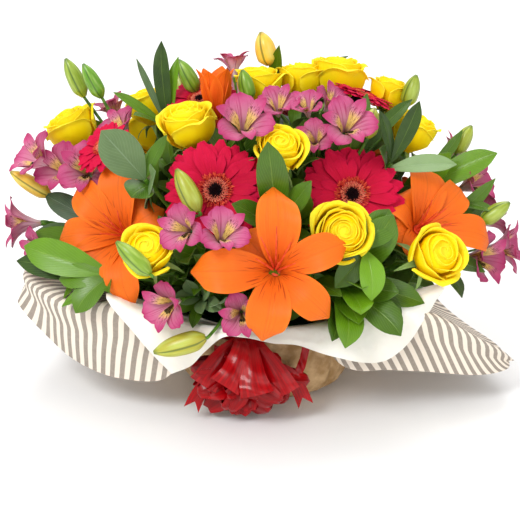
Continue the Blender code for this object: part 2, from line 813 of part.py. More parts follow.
def star_shell(petals, throat, gap, hip, wall, stem_radius):
    """Star of petals round a funnel, and the ring where its stem starts.

    Each petal is its turn and its rows of radius, height, half width and edge lift; the last
    row is the tip. Throat and hip are heights on the axis, gap is the radius and height of
    the points between petals.
    """
    shell = Shell()
    petals = sorted(petals, key=lambda petal: petal[0] % 360)
    centre = shell.add(UP * throat)
    turns = [petal[0] % 360 for petal in petals]
    gap_turns = [(turn + before) / 2 for turn, before in zip(turns, [turns[-1] - 360] + turns)]
    gaps = shell.add(*[cylinder_point(turn, *gap) for turn in gap_turns])
    top_loop, under_loop = [], []
    for number, (turn, rows) in enumerate(petals):
        first, last = gaps[number], gaps[(number + 1) % len(gaps)]
        out = cylinder_point(turn, 1.0, 0.0)
        side = Vector((-out.y, out.x, 0.0))
        top_rows, under_rows = [], []
        previous = out * gap[0] + UP * gap[1]
        for radius, height, half, raised in rows[:-1]:
            middle = out * radius + UP * height
            normal = (middle - previous).normalized().cross(side) * (wall / 2)
            previous = middle
            left, right = shell.add(middle - side * half + UP * raised, middle + side * half + UP * raised)
            top, under = shell.add(middle + normal, middle - normal)
            top_rows.append([left, top, right])
            under_rows.append([left, under, right])
        tip = shell.add(out * rows[-1][0] + UP * rows[-1][1])
        for line, loop, flip in ((top_rows, top_loop, False), (under_rows, under_loop, True)):
            left, middle, right = line[0]
            loop += [first, middle]
            faces = [(first, left, middle), (middle, right, last)]
            shell.faces += [face[::-1] if flip else face for face in faces]
            shell.faces += strip_faces(line + [tip], flip)
    shell.bridge(centre, top_loop)
    return shell, shell.neck(under_loop, gap_turns[0], hip, stem_radius)


LILY_PETAL = ((16, 18, 6.5, 2.0), (38, 31, 15, 3.0), (58, 28, 12, -1.0), (70, 12))
LILY_PETAL_SHUT = ((12, 24, 4.5, 0.0), (22, 48, 8.0, 0.0), (42, 68))
LILY_THROAT = 5.0
LILY_GAP = (6.5, 9.0)
LILY_HIP = -8.0
LILY_WALL = 1.6
FILAMENTS = 6
FILAMENT_ROOT = (2.4, 4.0)
FILAMENT_TOP = 7.0
FILAMENT_SPREAD = 18.0
FILAMENT_SHUT = 0.4
FILAMENT_HEIGHT = 50.0


def scaled_petal(turn, rows, length, width):
    """A petal's rows with their radii and heights scaled by length, their widths by width."""
    sized = []
    for row in rows:
        sized.append((row[0] * length, row[1] * length, *(value * width for value in row[2:])))
    return turn, sized


def filament_solid(spread):
    """Spray of pointed filaments from one small root in the throat."""
    shell = Shell()
    root = shell.add(UP)
    centre = shell.add(UP * FILAMENT_TOP)
    ring = shell.ring(FILAMENTS, (FILAMENT_ROOT[0],) * 2, (FILAMENT_ROOT[1],) * 2)
    shell.bridge(root, ring)
    for number in range(FILAMENTS):
        first, last = ring[number], ring[(number + 1) % FILAMENTS]
        turn = 360 / FILAMENTS * (number + 0.5)
        tip = shell.add(cylinder_point(turn, spread, FILAMENT_HEIGHT))[0]
        shell.faces += [(first, last, tip), (last, centre[0], tip), (centre[0], first, tip)]
    return shell.solid()


def lily_shell(name, size, stem_radius):
    """Six petals of a lily as one star, and the ring where its stem starts."""
    profile = LILY_PETAL_SHUT if name in HALF_OPEN else LILY_PETAL
    petals = [scaled_petal(turn, profile, share * size, size) for turn, share in LILY_PETALS[name]]
    return star_shell(petals, LILY_THROAT, LILY_GAP, LILY_HIP, LILY_WALL, stem_radius)


ALSTRO_BROAD = ((17, 25, 11.0, 2.0), (30, 29))
ALSTRO_NARROW = ((17, 28, 5.0, 1.0), (27, 34))
ALSTRO_THROAT = 5.0
ALSTRO_GAP = (6.5, 12.0)
ALSTRO_HIP = -6.0
ALSTRO_WALL = 1.4


def alstroemeria_shell(size, stem_radius):
    """Three broad and three narrow petals in turn, and the ring where the stem starts."""
    petals = []
    for step in range(3):
        petals.append(scaled_petal(90 + 120 * step, ALSTRO_BROAD, size, size))
        petals.append(scaled_petal(30 + 120 * step, ALSTRO_NARROW, size, size))
    gap = [value * size for value in ALSTRO_GAP]
    return star_shell(petals, ALSTRO_THROAT * size, gap, ALSTRO_HIP * size, ALSTRO_WALL, stem_radius)


def leaf_solid(root, leaf):
    """Pointed leaf from its root to its tip, arched outward, with a shallow fold along its rib."""
    tip = place_point(leaf.turn, leaf.lift, leaf.reach)
    heading = (tip - root).normalized()
    length = (tip - root).length
    outward = ((tip + root) / 2 - HUB).normalized()
    side = heading.cross(outward).normalized()
    side = Matrix.Rotation(math.radians(leaf.roll), 3, heading) @ side
    normal = side.cross(heading)
    rows = []
    for share, half in LEAF_OUTLINE:
        arch = outward * (leaf.arch * length * 4 * share * (1 - share))
        middle = root + heading * (length * share) + arch
        if half == 0:
            rows.append([middle])
            continue
        edge = side * (leaf.width * half)
        raised = normal * (leaf.width * half * 0.25)
        rows.append([middle - edge + raised, middle, middle + edge + raised])
    return blade(rows, LEAF_WALL)


def bud_solid(branch_from, bud):
    """Six-sided bud on a short curved branch."""
    base = place_point(bud.turn, bud.lift, bud.reach)
    facing = direction(bud.face_turn, bud.face_lift)
    shell = Shell()
    before = shell.add(UP * bud.length)
    for wide, high in BUD_RINGS:
        ring = shell.ring(BUD_SIDES, (bud.radius * wide,) * 2, (bud.length * high,) * 2)
        shell.bridge(before, ring)
        before = ring
    start = shell.neck(before, 0.0, 0.0, BRANCH_RADIUS)
    shell.place(frame_matrix(base, facing))
    knee = branch_from * 0.5 + (base - facing * 14) * 0.5
    shell.stalk(start, [knee, branch_from], BRANCH_RADIUS)
    return shell.solid()


def bloom_on_stem(shell, start, place, path):
    """Solid of a bloom that is set at its place and carried on along its stem."""
    base = place_point(place.turn, place.lift, place.reach)
    facing = direction(place.face_turn, place.face_lift)
    shell.place(frame_matrix(base, facing, place.spin))
    shell.stalk(start, path, STEM_RADIUS)
    return shell.solid()


def plain_stem(place):
    """Path of a stem from just below a bloom down to its foot; it notes the hole it needs."""
    base = place_point(place.turn, place.lift, place.reach)
    facing = direction(place.face_turn, place.face_lift)
    FEET.append(foot_point(place.turn, place.lift))
    return list(reversed(stem_path(place.turn, place.lift, base, facing)))[1:]


def build_roses():
    """Every rose on its stem."""
    for name, place in ROSES.items():
        shell, start = rose_shell(place.size, STEM_RADIUS)
        make_object(name, bloom_on_stem(shell, start, place, plain_stem(place)), "rose")


def build_gerberas():
    """Every gerbera on its stem; the two that face the front have both layers."""
    for name, place in GERBERAS.items():
        layers = GERBERA_LAYERS if place.size > GERBERA_FULL_SIZE else GERBERA_LAYERS[1:]
        shell, start = gerbera_shell(place.size, layers, STEM_RADIUS)
        make_object(name, bloom_on_stem(shell, start, place, plain_stem(place)), "gerbera")


def build_lilies():
    """Every lily on its stem, with its filaments."""
    for name, place in LILIES.items():
        shell, start = lily_shell(name, place.size, STEM_RADIUS)
        matrix = frame_matrix(
            place_point(place.turn, place.lift, place.reach),
            direction(place.face_turn, place.face_lift),
            place.spin,
        )
        spread = FILAMENT_SPREAD * (FILAMENT_SHUT if name in HALF_OPEN else 1.0)
        filaments = moved(filament_solid(spread), matrix)
        fuse(name, [bloom_on_stem(shell, start, place, plain_stem(place)), filaments], "lily")


def build_sprays():
    """Every alstroemeria spray: its first bloom's stem reaches the foam, the others join it."""
    for name, (fork_place, blooms) in SPRAYS.items():
        fork = place_point(*fork_place)
        outward = direction(fork_place[0], fork_place[1])
        main_path = list(reversed(stem_path(fork_place[0], fork_place[1], fork, outward)))
        FEET.append(foot_point(fork_place[0], fork_place[1]))
        solids = []
        for number, place in enumerate(blooms):
            base = place_point(place.turn, place.lift, place.reach)
            facing = direction(place.face_turn, place.face_lift)
            knee = fork * 0.4 + (base - facing * 16) * 0.6
            path = [knee] + (main_path if number == 0 else [fork - outward * 2])
            shell, start = alstroemeria_shell(place.size, BRANCH_RADIUS)
            solids.append(bloom_on_stem(shell, start, place, path))
        fuse(name, solids, "alstroemeria")


def build_leafy_stems():
    """Every leafy stem with its leaves and buds."""
    for name, (end_place, leaves, buds) in LEAFY_STEMS.items():
        end = place_point(*end_place)
        outward = direction(end_place[0], end_place[1])
        FEET.append(foot_point(end_place[0], end_place[1]))
        path = stem_path(end_place[0], end_place[1], end, outward, LEAFY_NECK, LEAFY_STEPS)
        solids = [tube(path, [STEM_RADIUS] * len(path), STEM_SIDES)]
        curve = stem_path(end_place[0], end_place[1], end, outward, LEAFY_NECK, 12)[1:]
        for leaf in leaves:
            solids.append(leaf_solid(curve[round(leaf.along * (len(curve) - 1))], leaf))
        for bud in buds:
            solids.append(bud_solid(curve[-3], bud))
        fuse(name, solids, "leaf")


def cup_points(profile, turn, fold):
    """Points of one profile at one turn, pushed in and out by the paper's folds."""
    angle = math.radians(turn)
    points = []
    for radius, height in profile:
        wave = fold * math.cos(KRAFT_FOLDS * angle + height * 0.05) * min(height / 20, 1.0)
        points.append(cylinder_point(turn, radius + wave, height))
    return points


def cup_solid(outer, inner, sides, fold):
    """Closed cup between an outer and an inner profile, both from the base up."""
    loop = list(outer) + list(reversed(inner))
    points = [Vector((0.0, 0.0, outer[0][1])), Vector((0.0, 0.0, inner[0][1]))]
    rings = []
    for step in range(sides):
        ring_points = cup_points(loop, 360 * step / sides, fold)
        rings.append(list(range(len(points), len(points) + len(ring_points))))
        points.extend(ring_points)
    rings.append(rings[0])
    faces = strip_faces(rings, False)
    for first, second in zip(rings, rings[1:]):
        faces.append((0, second[0], first[0]))
        faces.append((1, first[-1], second[-1]))
    return points, faces


def inset_profile(profile, wall, floor):
    """Inner profile of a cup: wall thinner all round, floor higher at the base."""
    inner = [(radius - wall, height) for radius, height in profile]
    inner[0] = (inner[0][0], profile[0][1] + floor)
    return inner


def build_holder():
    """Kraft cup, bowl and foam, one in the other."""
    kraft_inner = inset_profile(KRAFT_PROFILE, KRAFT_WALL, KRAFT_WALL)
    make_object("kraft_wrap", cup_solid(KRAFT_PROFILE, kraft_inner, ROUND_SIDES, KRAFT_FOLD_DEPTH), "kraft")
    bowl_inner = inset_profile(BOWL_PROFILE, BOWL_WALL, BOWL_WALL)
    make_object("bowl", cup_solid(BOWL_PROFILE, bowl_inner, ROUND_SIDES, 0.0), "bowl")
    foam = make_object("floral_foam", turned(FOAM_PROFILE, ROUND_SIDES), "foam")
    cutters = []
    for foot in FEET:
        path = [foot - UP * HOLE_DEPTH, foot + UP * 5]
        cutters.append(make_object("hole", tube(path, [HOLE_RADIUS] * 2, HOLE_SIDES), "foam"))
    apply_boolean(foam, cutters, "DIFFERENCE", "EXACT")


def spline(values, position):
    """Smooth value through a list at a position in steps, by Catmull and Rom's rule."""
    first = min(int(position), len(values) - 2)
    share = position - first
    padded = [values[max(first - 1, 0)], values[first], values[first + 1], values[min(first + 2, len(values) - 1)]]
    one, two, three, four = padded
    return 0.5 * (
        2 * two
        + (three - one) * share
        + (2 * one - 5 * two + 4 * three - four) * share**2
        + (3 * two - one - 3 * three + four) * share**3
    )


def sheet_rows(columns, seat_z, count, closed_round):
    """Rows of points of a paper sheet, from its seat on the cup to its hanging edge."""
    columns = list(columns)
    if closed_round:
        first = columns[0]
        lapped = SheetColumn(
            (first.ridge[0] + 360, *first.ridge[1:]),
            (first.edge[0] + 360, *first.edge[1:]),
        )
        columns.append(lapped)
    rows = [[], [], [], [], []]
    last = len(columns) - 1
    for step in range(count if closed_round else count + 1):
        position = last * step / count
        ridge = [spline([column.ridge[axis] for column in columns], position) for axis in range(3)]
        edge = [spline([column.edge[axis] for column in columns], position) for axis in range(3)]
        seat_turn = ridge[0]
        rows[0].append(cylinder_point(seat_turn, SEAT_RADIUS, seat_z))
        rows[1].append(cylinder_point(seat_turn, BEND_RADIUS, seat_z + 0.6))
        rows[2].append(cylinder_point(*ridge))
        middle = [(ridge[axis] + edge[axis]) / 2 for axis in range(3)]
        rows[3].append(cylinder_point(middle[0], middle[1] + 3.0, middle[2]))
        rows[4].append(cylinder_point(*edge))
    return rows


def build_sheets():
    """Striped sheet all round, and the white sheet over its front."""
    striped = sheet_rows(STRIPED_SHEET, STRIPED_SEAT_Z, SHEET_COLUMNS, True)
    make_object("striped_sheet", thick_grid(striped, SHEET_WALL, True), "striped_paper")
    white = sheet_rows(WHITE_SHEET, WHITE_SEAT_Z, 16, False)
    make_object("white_sheet", thick_grid(white, SHEET_WALL, False), "white_paper")


def ribbon_strip(path, width_axis, widths):
    """Flat closed strip of ribbon along a path, its width along one axis."""
    points = []
    rings = []
    for number, point in enumerate(path):
        before = path[max(number - 1, 0)]
        after = path[min(number + 1, len(path) - 1)]
        ahead = (after - before).normalized()
        across = (width_axis - ahead * width_axis.dot(ahead)).normalized()
        normal = ahead.cross(across) * (RIBBON_WALL / 2)
        half = across * (widths[number] / 2)
        corners = (point - half - normal, point + half - normal, point + half + normal, point - half + normal)
        rings.append(list(range(len(points), len(points) + 4)))
        points.extend(corners)
    return points, ring_faces(rings)


# Loops of the bow: turn in the front plane, lean forward, length, width
BOW_LOOPS = (
    (90, 0.1, 42, 15),
    (137, 0.1, 50, 15),
    (180, 0.1, 54, 15),
    (222, 0.1, 50, 14),
    (270, 0.1, 38, 14),
    (318, 0.1, 50, 15),
    (0, 0.1, 54, 15),
    (43, 0.1, 50, 15),
    (66, 1.2, 40, 13),
    (156, 1.2, 40, 13),
    (246, 1.2, 36, 13),
    (336, 1.2, 40, 13),
)
BOW_TAILS = (((-34, -4, -20), (-54, -8, -32)), ((34, -6, -16), (68, -6, -30)))
KNOT_PROFILE = ((7, -11), (13, 0), (7, 11))
TAIL_WIDTHS = (5, 11, 12)


def bow_loop(turn, lean, length, width):
    """One loop of ribbon that leaves the knot gathered, folds to a point and comes back."""
    angle = math.radians(turn)
    out = Vector((math.cos(angle), -lean, math.sin(angle))).normalized()
    side = Vector((-math.sin(angle), 0.0, math.cos(angle)))
    bulge = out.cross(side).normalized() * (length * 0.13)
    root = out * 4
    path = [root + bulge * 0.2, out * (length * 0.55) + bulge, out * length]
    path += [out * (length * 0.55) - bulge, root - bulge * 0.2]
    path = [BOW_CENTRE + point for point in path]
    return ribbon_strip(path, side, (4, width, width * 0.8, width, 4))


def build_ribbon():
    """Band under the rim of the cup, and the bow in front of it."""
    band_rows = [
        [cylinder_point(360 * step / ROUND_SIDES, BAND_RADIUS, height) for step in range(ROUND_SIDES)]
        for height in (BAND_TOP - BAND_WIDTH, BAND_TOP)
    ]
    make_object("ribbon_band", thick_grid(band_rows, RIBBON_WALL, True), "ribbon")
    knot = moved(turned(KNOT_PROFILE, 8), Matrix.Translation(BOW_CENTRE))
    solids = [knot] + [bow_loop(*loop) for loop in BOW_LOOPS]
    for middle, end in BOW_TAILS:
        path = [BOW_CENTRE, BOW_CENTRE + Vector(middle), BOW_CENTRE + Vector(end)]
        solids.append(ribbon_strip(path, Vector((0.3, 0.0, 1.0)), TAIL_WIDTHS))
    fuse("ribbon_bow", solids, "ribbon")


def clear_scene():
    """Remove what the new file holds."""
    for piece in list(bpy.data.objects):
        bpy.data.objects.remove(piece)


def main():
    """Build every piece; the foam comes after the stems, whose holes it gets."""
    clear_scene()
    build_roses()
    build_gerberas()
    build_lilies()
    build_sprays()
    build_leafy_stems()
    build_holder()
    build_sheets()
    build_ribbon()


main()
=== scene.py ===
"""Looks of the flower arrangement: petals, leaves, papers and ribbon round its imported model.

Sizes are in millimetres and become metres when a mesh is made. A place on the dome is a turn
(degrees round Z from +X), a lift (degrees above level) and a reach (distance), all taken from
HUB. The front of the arrangement faces -Y.
"""

import logging
import math
from dataclasses import dataclass, field
from enum import Enum
from typing import Any, ClassVar, Iterable, Sequence

import bpy
import numpy as np
from mathutils import Matrix, Vector


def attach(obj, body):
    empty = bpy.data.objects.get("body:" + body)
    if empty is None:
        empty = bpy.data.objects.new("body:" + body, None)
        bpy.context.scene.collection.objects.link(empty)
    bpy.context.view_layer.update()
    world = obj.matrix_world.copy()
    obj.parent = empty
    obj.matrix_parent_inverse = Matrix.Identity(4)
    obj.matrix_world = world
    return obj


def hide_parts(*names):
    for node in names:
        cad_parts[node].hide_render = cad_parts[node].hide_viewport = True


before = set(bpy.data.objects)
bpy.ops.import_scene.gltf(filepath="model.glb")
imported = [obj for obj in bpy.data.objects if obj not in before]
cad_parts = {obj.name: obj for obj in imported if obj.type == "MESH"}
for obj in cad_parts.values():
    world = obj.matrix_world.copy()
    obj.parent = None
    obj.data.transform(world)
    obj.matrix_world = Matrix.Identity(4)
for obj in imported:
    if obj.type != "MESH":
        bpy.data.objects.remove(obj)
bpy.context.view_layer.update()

logging.basicConfig(level=logging.INFO, format="%(message)s")
log = logging.getLogger("flowers")

Array = np.ndarray
Draw = np.random.Generator
Mesh = bpy.types.Mesh
Socket = bpy.types.NodeSocket
Thing = bpy.types.Object
Tree = bpy.types.NodeTree

MM = 0.001
BODY = "root"
HUB = np.array((0.0, 0.0, 75.0))
UP = np.array((0.0, 0.0, 1.0))
TO_FRONT = np.array((0.0, -1.0, 0.0))
GOLDEN_TURN = 137.508
# Leaves turn their faces this way, towards the camera and the light
FRONT_LIGHT = np.array((0.0, -0.85, 0.5))
SHARP_ANGLE = math.radians(55)
FULL_CIRCLE = 2 * math.pi

# Foam and stems, as the solids have them
FOAM_TOP = 86.0
FOOT_SPREAD = 74.0
FOOT_DEPTH = 17.7
STEM_RADIUS = 2.4
STEM_SIDES = 8
STEM_STEPS = 14
BLOOM_NECK = 26.0
# Thickness of petals and leaves, and of the smallest ones
PETAL_THICKNESS = 0.5
SMALL_THICKNESS = 0.4
# Where a wave may start, in radians
PHASES = (0.0, 6.3)


# Places on the dome


@dataclass(frozen=True)
class Place:
    """Where a bloom sits on the dome, the way it faces, its spin and its size."""

    turn: float
    lift: float
    reach: float
    face_turn: float
    face_lift: float
    spin: float = 0.0
    size: float = 1.0

    @property
    def base(self) -> Array:
        """Base of the bloom."""
        return place_point(self.turn, self.lift, self.reach)

    @property
    def facing(self) -> Array:
        """The way the bloom faces."""
        return direction(self.face_turn, self.face_lift)

    @property
    def matrix(self) -> Array:
        """Frame of the bloom: its base at the origin, its face along local Z."""
        return frame_matrix(self.base, self.facing, self.spin)


def direction(turn: float, lift: float) -> Array:
    """Unit vector at a turn round Z from +X and a lift above level, both in degrees."""
    turn_rad, lift_rad = math.radians(turn), math.radians(lift)
    level = math.cos(lift_rad)
    return np.array((level * math.cos(turn_rad), level * math.sin(turn_rad), math.sin(lift_rad)))


def place_point(turn: float, lift: float, reach: float) -> Array:
    """Point of the dome at a turn, a lift and a reach from the hub."""
    return HUB + direction(turn, lift) * reach


def cylinder_points(turns: Array, radii: Array, heights: Array) -> Array:
    """Points at turns in degrees, radii and heights round the Z axis."""
    angles = np.radians(turns)
    return np.stack(np.broadcast_arrays(radii * np.cos(angles), radii * np.sin(angles), heights), axis=-1)


def unit(vector: Array) -> Array:
    """The vector, or each vector of an array, at length one."""
    return vector / np.maximum(np.linalg.norm(vector, axis=-1, keepdims=True), 1e-9)


def frame_matrix(origin: Array, axis: Array, spin: float = 0.0) -> Array:
    """Frame at origin with local Z along axis and local Y as near to up as it goes, then spun.

    Args:
        origin: Origin of the frame.
        axis: Direction of local Z.
        spin: Degrees turned about local Z.

    Returns:
        A matrix of four rows and four columns.
    """
    z_axis = unit(np.asarray(axis, float))
    side = np.cross(UP, z_axis)
    if np.linalg.norm(side) < 0.05:
        side = np.array((1.0, 0.0, 0.0)) - z_axis * z_axis[0]
    x_axis = unit(side)
    y_axis = np.cross(z_axis, x_axis)
    turned = math.radians(spin)
    matrix = np.eye(4)
    matrix[:3, 0] = x_axis * math.cos(turned) + y_axis * math.sin(turned)
    matrix[:3, 1] = y_axis * math.cos(turned) - x_axis * math.sin(turned)
    matrix[:3, 2] = z_axis
    matrix[:3, 3] = origin
    return matrix


def carried(matrix: Array, points: Array) -> Array:
    """Points carried by a frame."""
    return points @ matrix[:3, :3].T + matrix[:3, 3]


def even(count: int) -> Array:
    """Numbers evenly spread from 0 to 1."""
    return np.linspace(0.0, 1.0, count)


def side_to_side(count: int) -> Array:
    """Numbers evenly spread from -1 to 1, as one row."""
    return np.linspace(-1.0, 1.0, count)[None, :]


def round_turns(count: int) -> Array:
    """Evenly spaced turns of a full circle, in degrees, as one row."""
    return np.linspace(0.0, 360.0, count, endpoint=False)[None, :]


def grid_along(middle: Array, side: Array, spread: Array, normal: Array, raised: Array) -> Array:
    """Grid of points either side of a middle line, spread to the side and raised along the normal."""
    return middle[:, None, :] + side * spread[..., None] + normal * raised[..., None]


def smooth(values: Sequence, shares: Array) -> Array:
    """Smooth curve through evenly spaced values, by Catmull and Rom's rule.

    Args:
        values: Numbers or points that the curve passes through.
        shares: Where to read it, from 0 at the first value to 1 at the last.

    Returns:
        One number or point for each share.
    """
    knots = np.asarray(values, float)
    position = np.clip(shares, 0.0, 1.0) * (len(knots) - 1)
    first = np.minimum(position.astype(int), len(knots) - 2)
    step = (position - first).reshape(-1, *[1] * (knots.ndim - 1))
    padded = np.concatenate([[2 * knots[0] - knots[1]], knots, [2 * knots[-1] - knots[-2]]])
    before, here, after, last = (padded[first + number] for number in range(4))
    return 0.5 * (
        2 * here
        + (after - before) * step
        + (2 * before - 5 * here + 4 * after - last) * step**2
        + (3 * here - before - 3 * after + last) * step**3
    )


def foot_point(turn: float, lift: float) -> Array:
    """Where a stem enters the top of the foam."""
    flat = direction(turn, lift) * FOOT_SPREAD
    return np.array((flat[0], flat[1], FOAM_TOP))


def stem_path(turn: float, lift: float, base: Array, facing: Array, neck: float, steps: int) -> Array:
    """Points of a stem from its foot in the foam to the base of its bloom.

    Args:
        turn: Turn of the bloom's place.
        lift: Lift of the bloom's place.
        base: Base of the bloom.
        facing: The way the bloom faces.
        neck: How far below the base the stem starts to bend.
        steps: Steps of the curve.

    Returns:
        The points, from the foot up.
    """
    foot = foot_point(turn, lift)
    rise = foot + (UP * 0.55 + direction(turn, lift) * 0.45) * (np.linalg.norm(base - foot) * 0.38)
    back = base - facing * neck
    share = np.linspace(0.0, 1.0, steps + 1)[1:, None]
    rest = 1.0 - share
    curve = foot * rest**3 + rise * (3 * rest**2 * share) + back * (3 * rest * share**2) + base * share**3
    return np.concatenate([[foot - UP * FOOT_DEPTH, foot + UP], curve])


# Surfaces: thin blades and tubes gathered into one mesh


def grid_normals(grid: Array, closed: bool) -> Array:
    """Normals of a grid of points, across its columns first and then along its rows."""
    along = np.gradient(grid, axis=0)
    if closed:
        across = (np.roll(grid, -1, axis=1) - np.roll(grid, 1, axis=1)) / 2
    else:
        across = np.gradient(grid, axis=1)
    return unit(np.cross(across, along))


def quads(grid: Array) -> Array:
    """Four corners of each cell of a grid, across first and then along."""
    cells = (grid[:-1, :-1], grid[:-1, 1:], grid[1:, 1:], grid[1:, :-1])
    return np.stack(cells, axis=2).reshape(-1, 4, *grid.shape[2:])


class Surface:
    """Gathers closed blades and tubes, in millimetres, and makes them one mesh."""

    def __init__(self) -> None:
        """Start with nothing gathered."""
        self.points: list[Array] = []
        self.tones: list[Array] = []
        self.undersides: list[Array] = []
        self.faces: list[tuple[Array, Array, int]] = []
        self.count = 0

    def add_points(self, points: Array, tone: float, underside: float) -> Array:
        """Add points and return their numbers, in the shape that the points have.

        Args:
            points: Array of points.
            tone: How light or far on the blade's colour is, from 0 to 1.
            underside: 1 on the under face of a blade, 0 elsewhere.

        Returns:
            The numbers of the new points.
        """
        flat = points.reshape(-1, 3)
        numbers = np.arange(self.count, self.count + len(flat))
        self.points.append(flat)
        self.tones.append(np.full(len(flat), tone))
        self.undersides.append(np.full(len(flat), underside))
        self.count += len(flat)
        return numbers.reshape(points.shape[:-1])

    def blade(
        self, grid: Array, thickness: float, tone: float = 0.5, slot: int = 0, closed: bool = False,
        across: Array | None = None,
    ) -> None:
        """Add a thin closed blade from a grid of points.

        Args:
            grid: Rows along the blade, each a row of points across it.
            thickness: Distance between the two faces.
            tone: Tone of the blade.
            slot: Number of its material.
            closed: True where the last column meets the first again.
            across: UV marks of the columns, or of each point, or None for an even spread.
        """
        rows = len(grid)
        shift = grid_normals(grid, closed) * (thickness / 2)
        top = self.add_points(grid + shift, tone, 0.0)
        under = self.add_points(grid - shift, tone, 1.0)
        if closed:
            top, under = (np.concatenate([face, face[:, :1]], axis=1) for face in (top, under))
        if across is None:
            across = even(top.shape[1])[None, :]
        along = even(rows)[:, None]
        uv = np.stack(np.broadcast_arrays(across, along), axis=-1)
        self.faces.append((quads(top), quads(uv), slot))
        self.faces.append((quads(under)[:, ::-1], quads(uv)[:, ::-1], slot))
        for edge in self.rim_edges(rows, top.shape[1], closed):
            corners = np.stack([top[edge[1]], top[edge[0]], under[edge[0]], under[edge[1]]], axis=-1)
            marks = np.stack([uv[edge[1]], uv[edge[0]], uv[edge[0]], uv[edge[1]]], axis=-2)
            self.faces.append((corners, marks, slot))

    @staticmethod
    def rim_edges(rows: int, columns: int, closed: bool) -> list[tuple]:
        """Index pairs of the border of a grid, in the order its top faces pass them.

        Args:
            rows: Rows of the grid.
            columns: Columns of the grid.
            closed: True where only the first and last rows are borders.

        Returns:
            Pairs of grid indices, one pair for each side.
        """
        step = np.arange(columns - 1)
        sides = [((0, step), (0, step + 1)), ((rows - 1, step + 1), (rows - 1, step))]
        if not closed:
            step = np.arange(rows - 1)
            sides.append(((step, columns - 1), (step + 1, columns - 1)))
            sides.append(((step + 1, 0), (step, 0)))
        return sides

    def tube(self, path: Array, radii: Any, sides: int, tone: float = 0.5, slot: int = 0) -> None:
        """Add a closed tube along a path.

        Args:
            path: Points of the tube's middle line.
            radii: One radius, or one for each point.
            sides: Sides of the tube.
            tone: Tone of the tube.
            slot: Number of its material.
        """
        path = np.asarray(path, float)
        radii = np.broadcast_to(np.asarray(radii, float), len(path))
        ahead = unit(np.gradient(path, axis=0))
        side = np.cross(ahead[0], (0.3, 0.5, 0.81))
        angles = np.linspace(0.0, FULL_CIRCLE, sides, endpoint=False)
        rings = []
        for point, forward, radius in zip(path, ahead, radii):
            side = unit(side - forward * np.dot(side, forward))
            other = np.cross(forward, side)
            ring = np.cos(angles)[:, None] * side + np.sin(angles)[:, None] * other
            rings.append(point + ring * radius)
        self.rings(np.array(rings), tone, slot)

    def rings(self, grid: Array, tone: float = 0.5, slot: int = 0) -> None:
        """Add a closed body from rings of points, with a cap at each end.

        Args:
            grid: Rings in order, each counted the same way round.
            tone: Tone of the body.
            slot: Number of its material.
        """
        sides = grid.shape[1]
        numbers = self.add_points(grid, tone, 0.0)
        closed = np.concatenate([numbers, numbers[:, :1]], axis=1)
        uv = np.stack(np.meshgrid(even(sides + 1), even(len(grid))), axis=-1)
        self.faces.append((quads(closed), quads(uv), slot))
        for ring, share in ((numbers[:1, ::-1], 0.0), (numbers[-1:], 1.0)):
            self.faces.append((ring, np.full((1, sides, 2), share), slot))

    def mesh(self, name: str, materials: Iterable[bpy.types.Material]) -> Mesh:
        """The gathered surfaces as one mesh in metres.

        Args:
            name: Name of the mesh.
            materials: Its materials, by slot.

        Returns:
            The mesh, with a UV map, tones and undersides.
        """
        mesh = bpy.data.meshes.new(name)
        points = np.concatenate(self.points) * MM
        sizes = np.concatenate([np.full(len(face), face.shape[1]) for face, _, _ in self.faces])
        corners = np.concatenate([face.ravel() for face, _, _ in self.faces])
        marks = np.concatenate([uv.reshape(-1, 2) for _, uv, _ in self.faces])
        slots = np.concatenate([np.full(len(face), slot) for face, _, slot in self.faces])
        starts = np.concatenate([[0], np.cumsum(sizes)[:-1]])
        mesh.vertices.add(len(points))
        mesh.loops.add(len(corners))
        mesh.polygons.add(len(sizes))
        mesh.vertices.foreach_set("co", points.astype(np.float32).ravel())
        mesh.loops.foreach_set("vertex_index", corners.astype(np.int32))
        mesh.polygons.foreach_set("loop_start", starts.astype(np.int32))
        mesh.polygons.foreach_set("material_index", slots.astype(np.int32))
        mesh.update(calc_edges=True)
        mesh.validate()
        uv_map = mesh.uv_layers.new(name="UVMap")
        uv_map.data.foreach_set("uv", marks.astype(np.float32).ravel())
        for title, values in (("tone", self.tones), ("underside", self.undersides)):
            attribute = mesh.attributes.new(title, "FLOAT", "POINT")
            attribute.data.foreach_set("value", np.concatenate(values).astype(np.float32))
        for material in materials:
            mesh.materials.append(material)
        mesh.set_sharp_from_angle(angle=SHARP_ANGLE)
        return mesh


def add_piece(name: str, mesh: Mesh, slot: str, *nodes: str) -> None:
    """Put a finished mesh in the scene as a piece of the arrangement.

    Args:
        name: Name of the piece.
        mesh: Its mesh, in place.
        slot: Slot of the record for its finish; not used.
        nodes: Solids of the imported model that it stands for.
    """
    piece = bpy.data.objects.new(name, mesh)
    bpy.context.scene.collection.objects.link(piece)
    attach(piece, BODY)
    if nodes:
        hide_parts(*nodes)
    log.info("%s: %d faces", name, len(mesh.polygons))


# Node trees


def srgb(code: str) -> tuple[float, float, float, float]:
    """Linear colour of an sRGB hex code such as ff8800."""
    parts = [int(code[start : start + 2], 16) / 255 for start in (0, 2, 4)]
    linear = [part / 12.92 if part <= 0.04045 else ((part + 0.055) / 1.055) ** 2.4 for part in parts]
    return (*linear, 1.0)


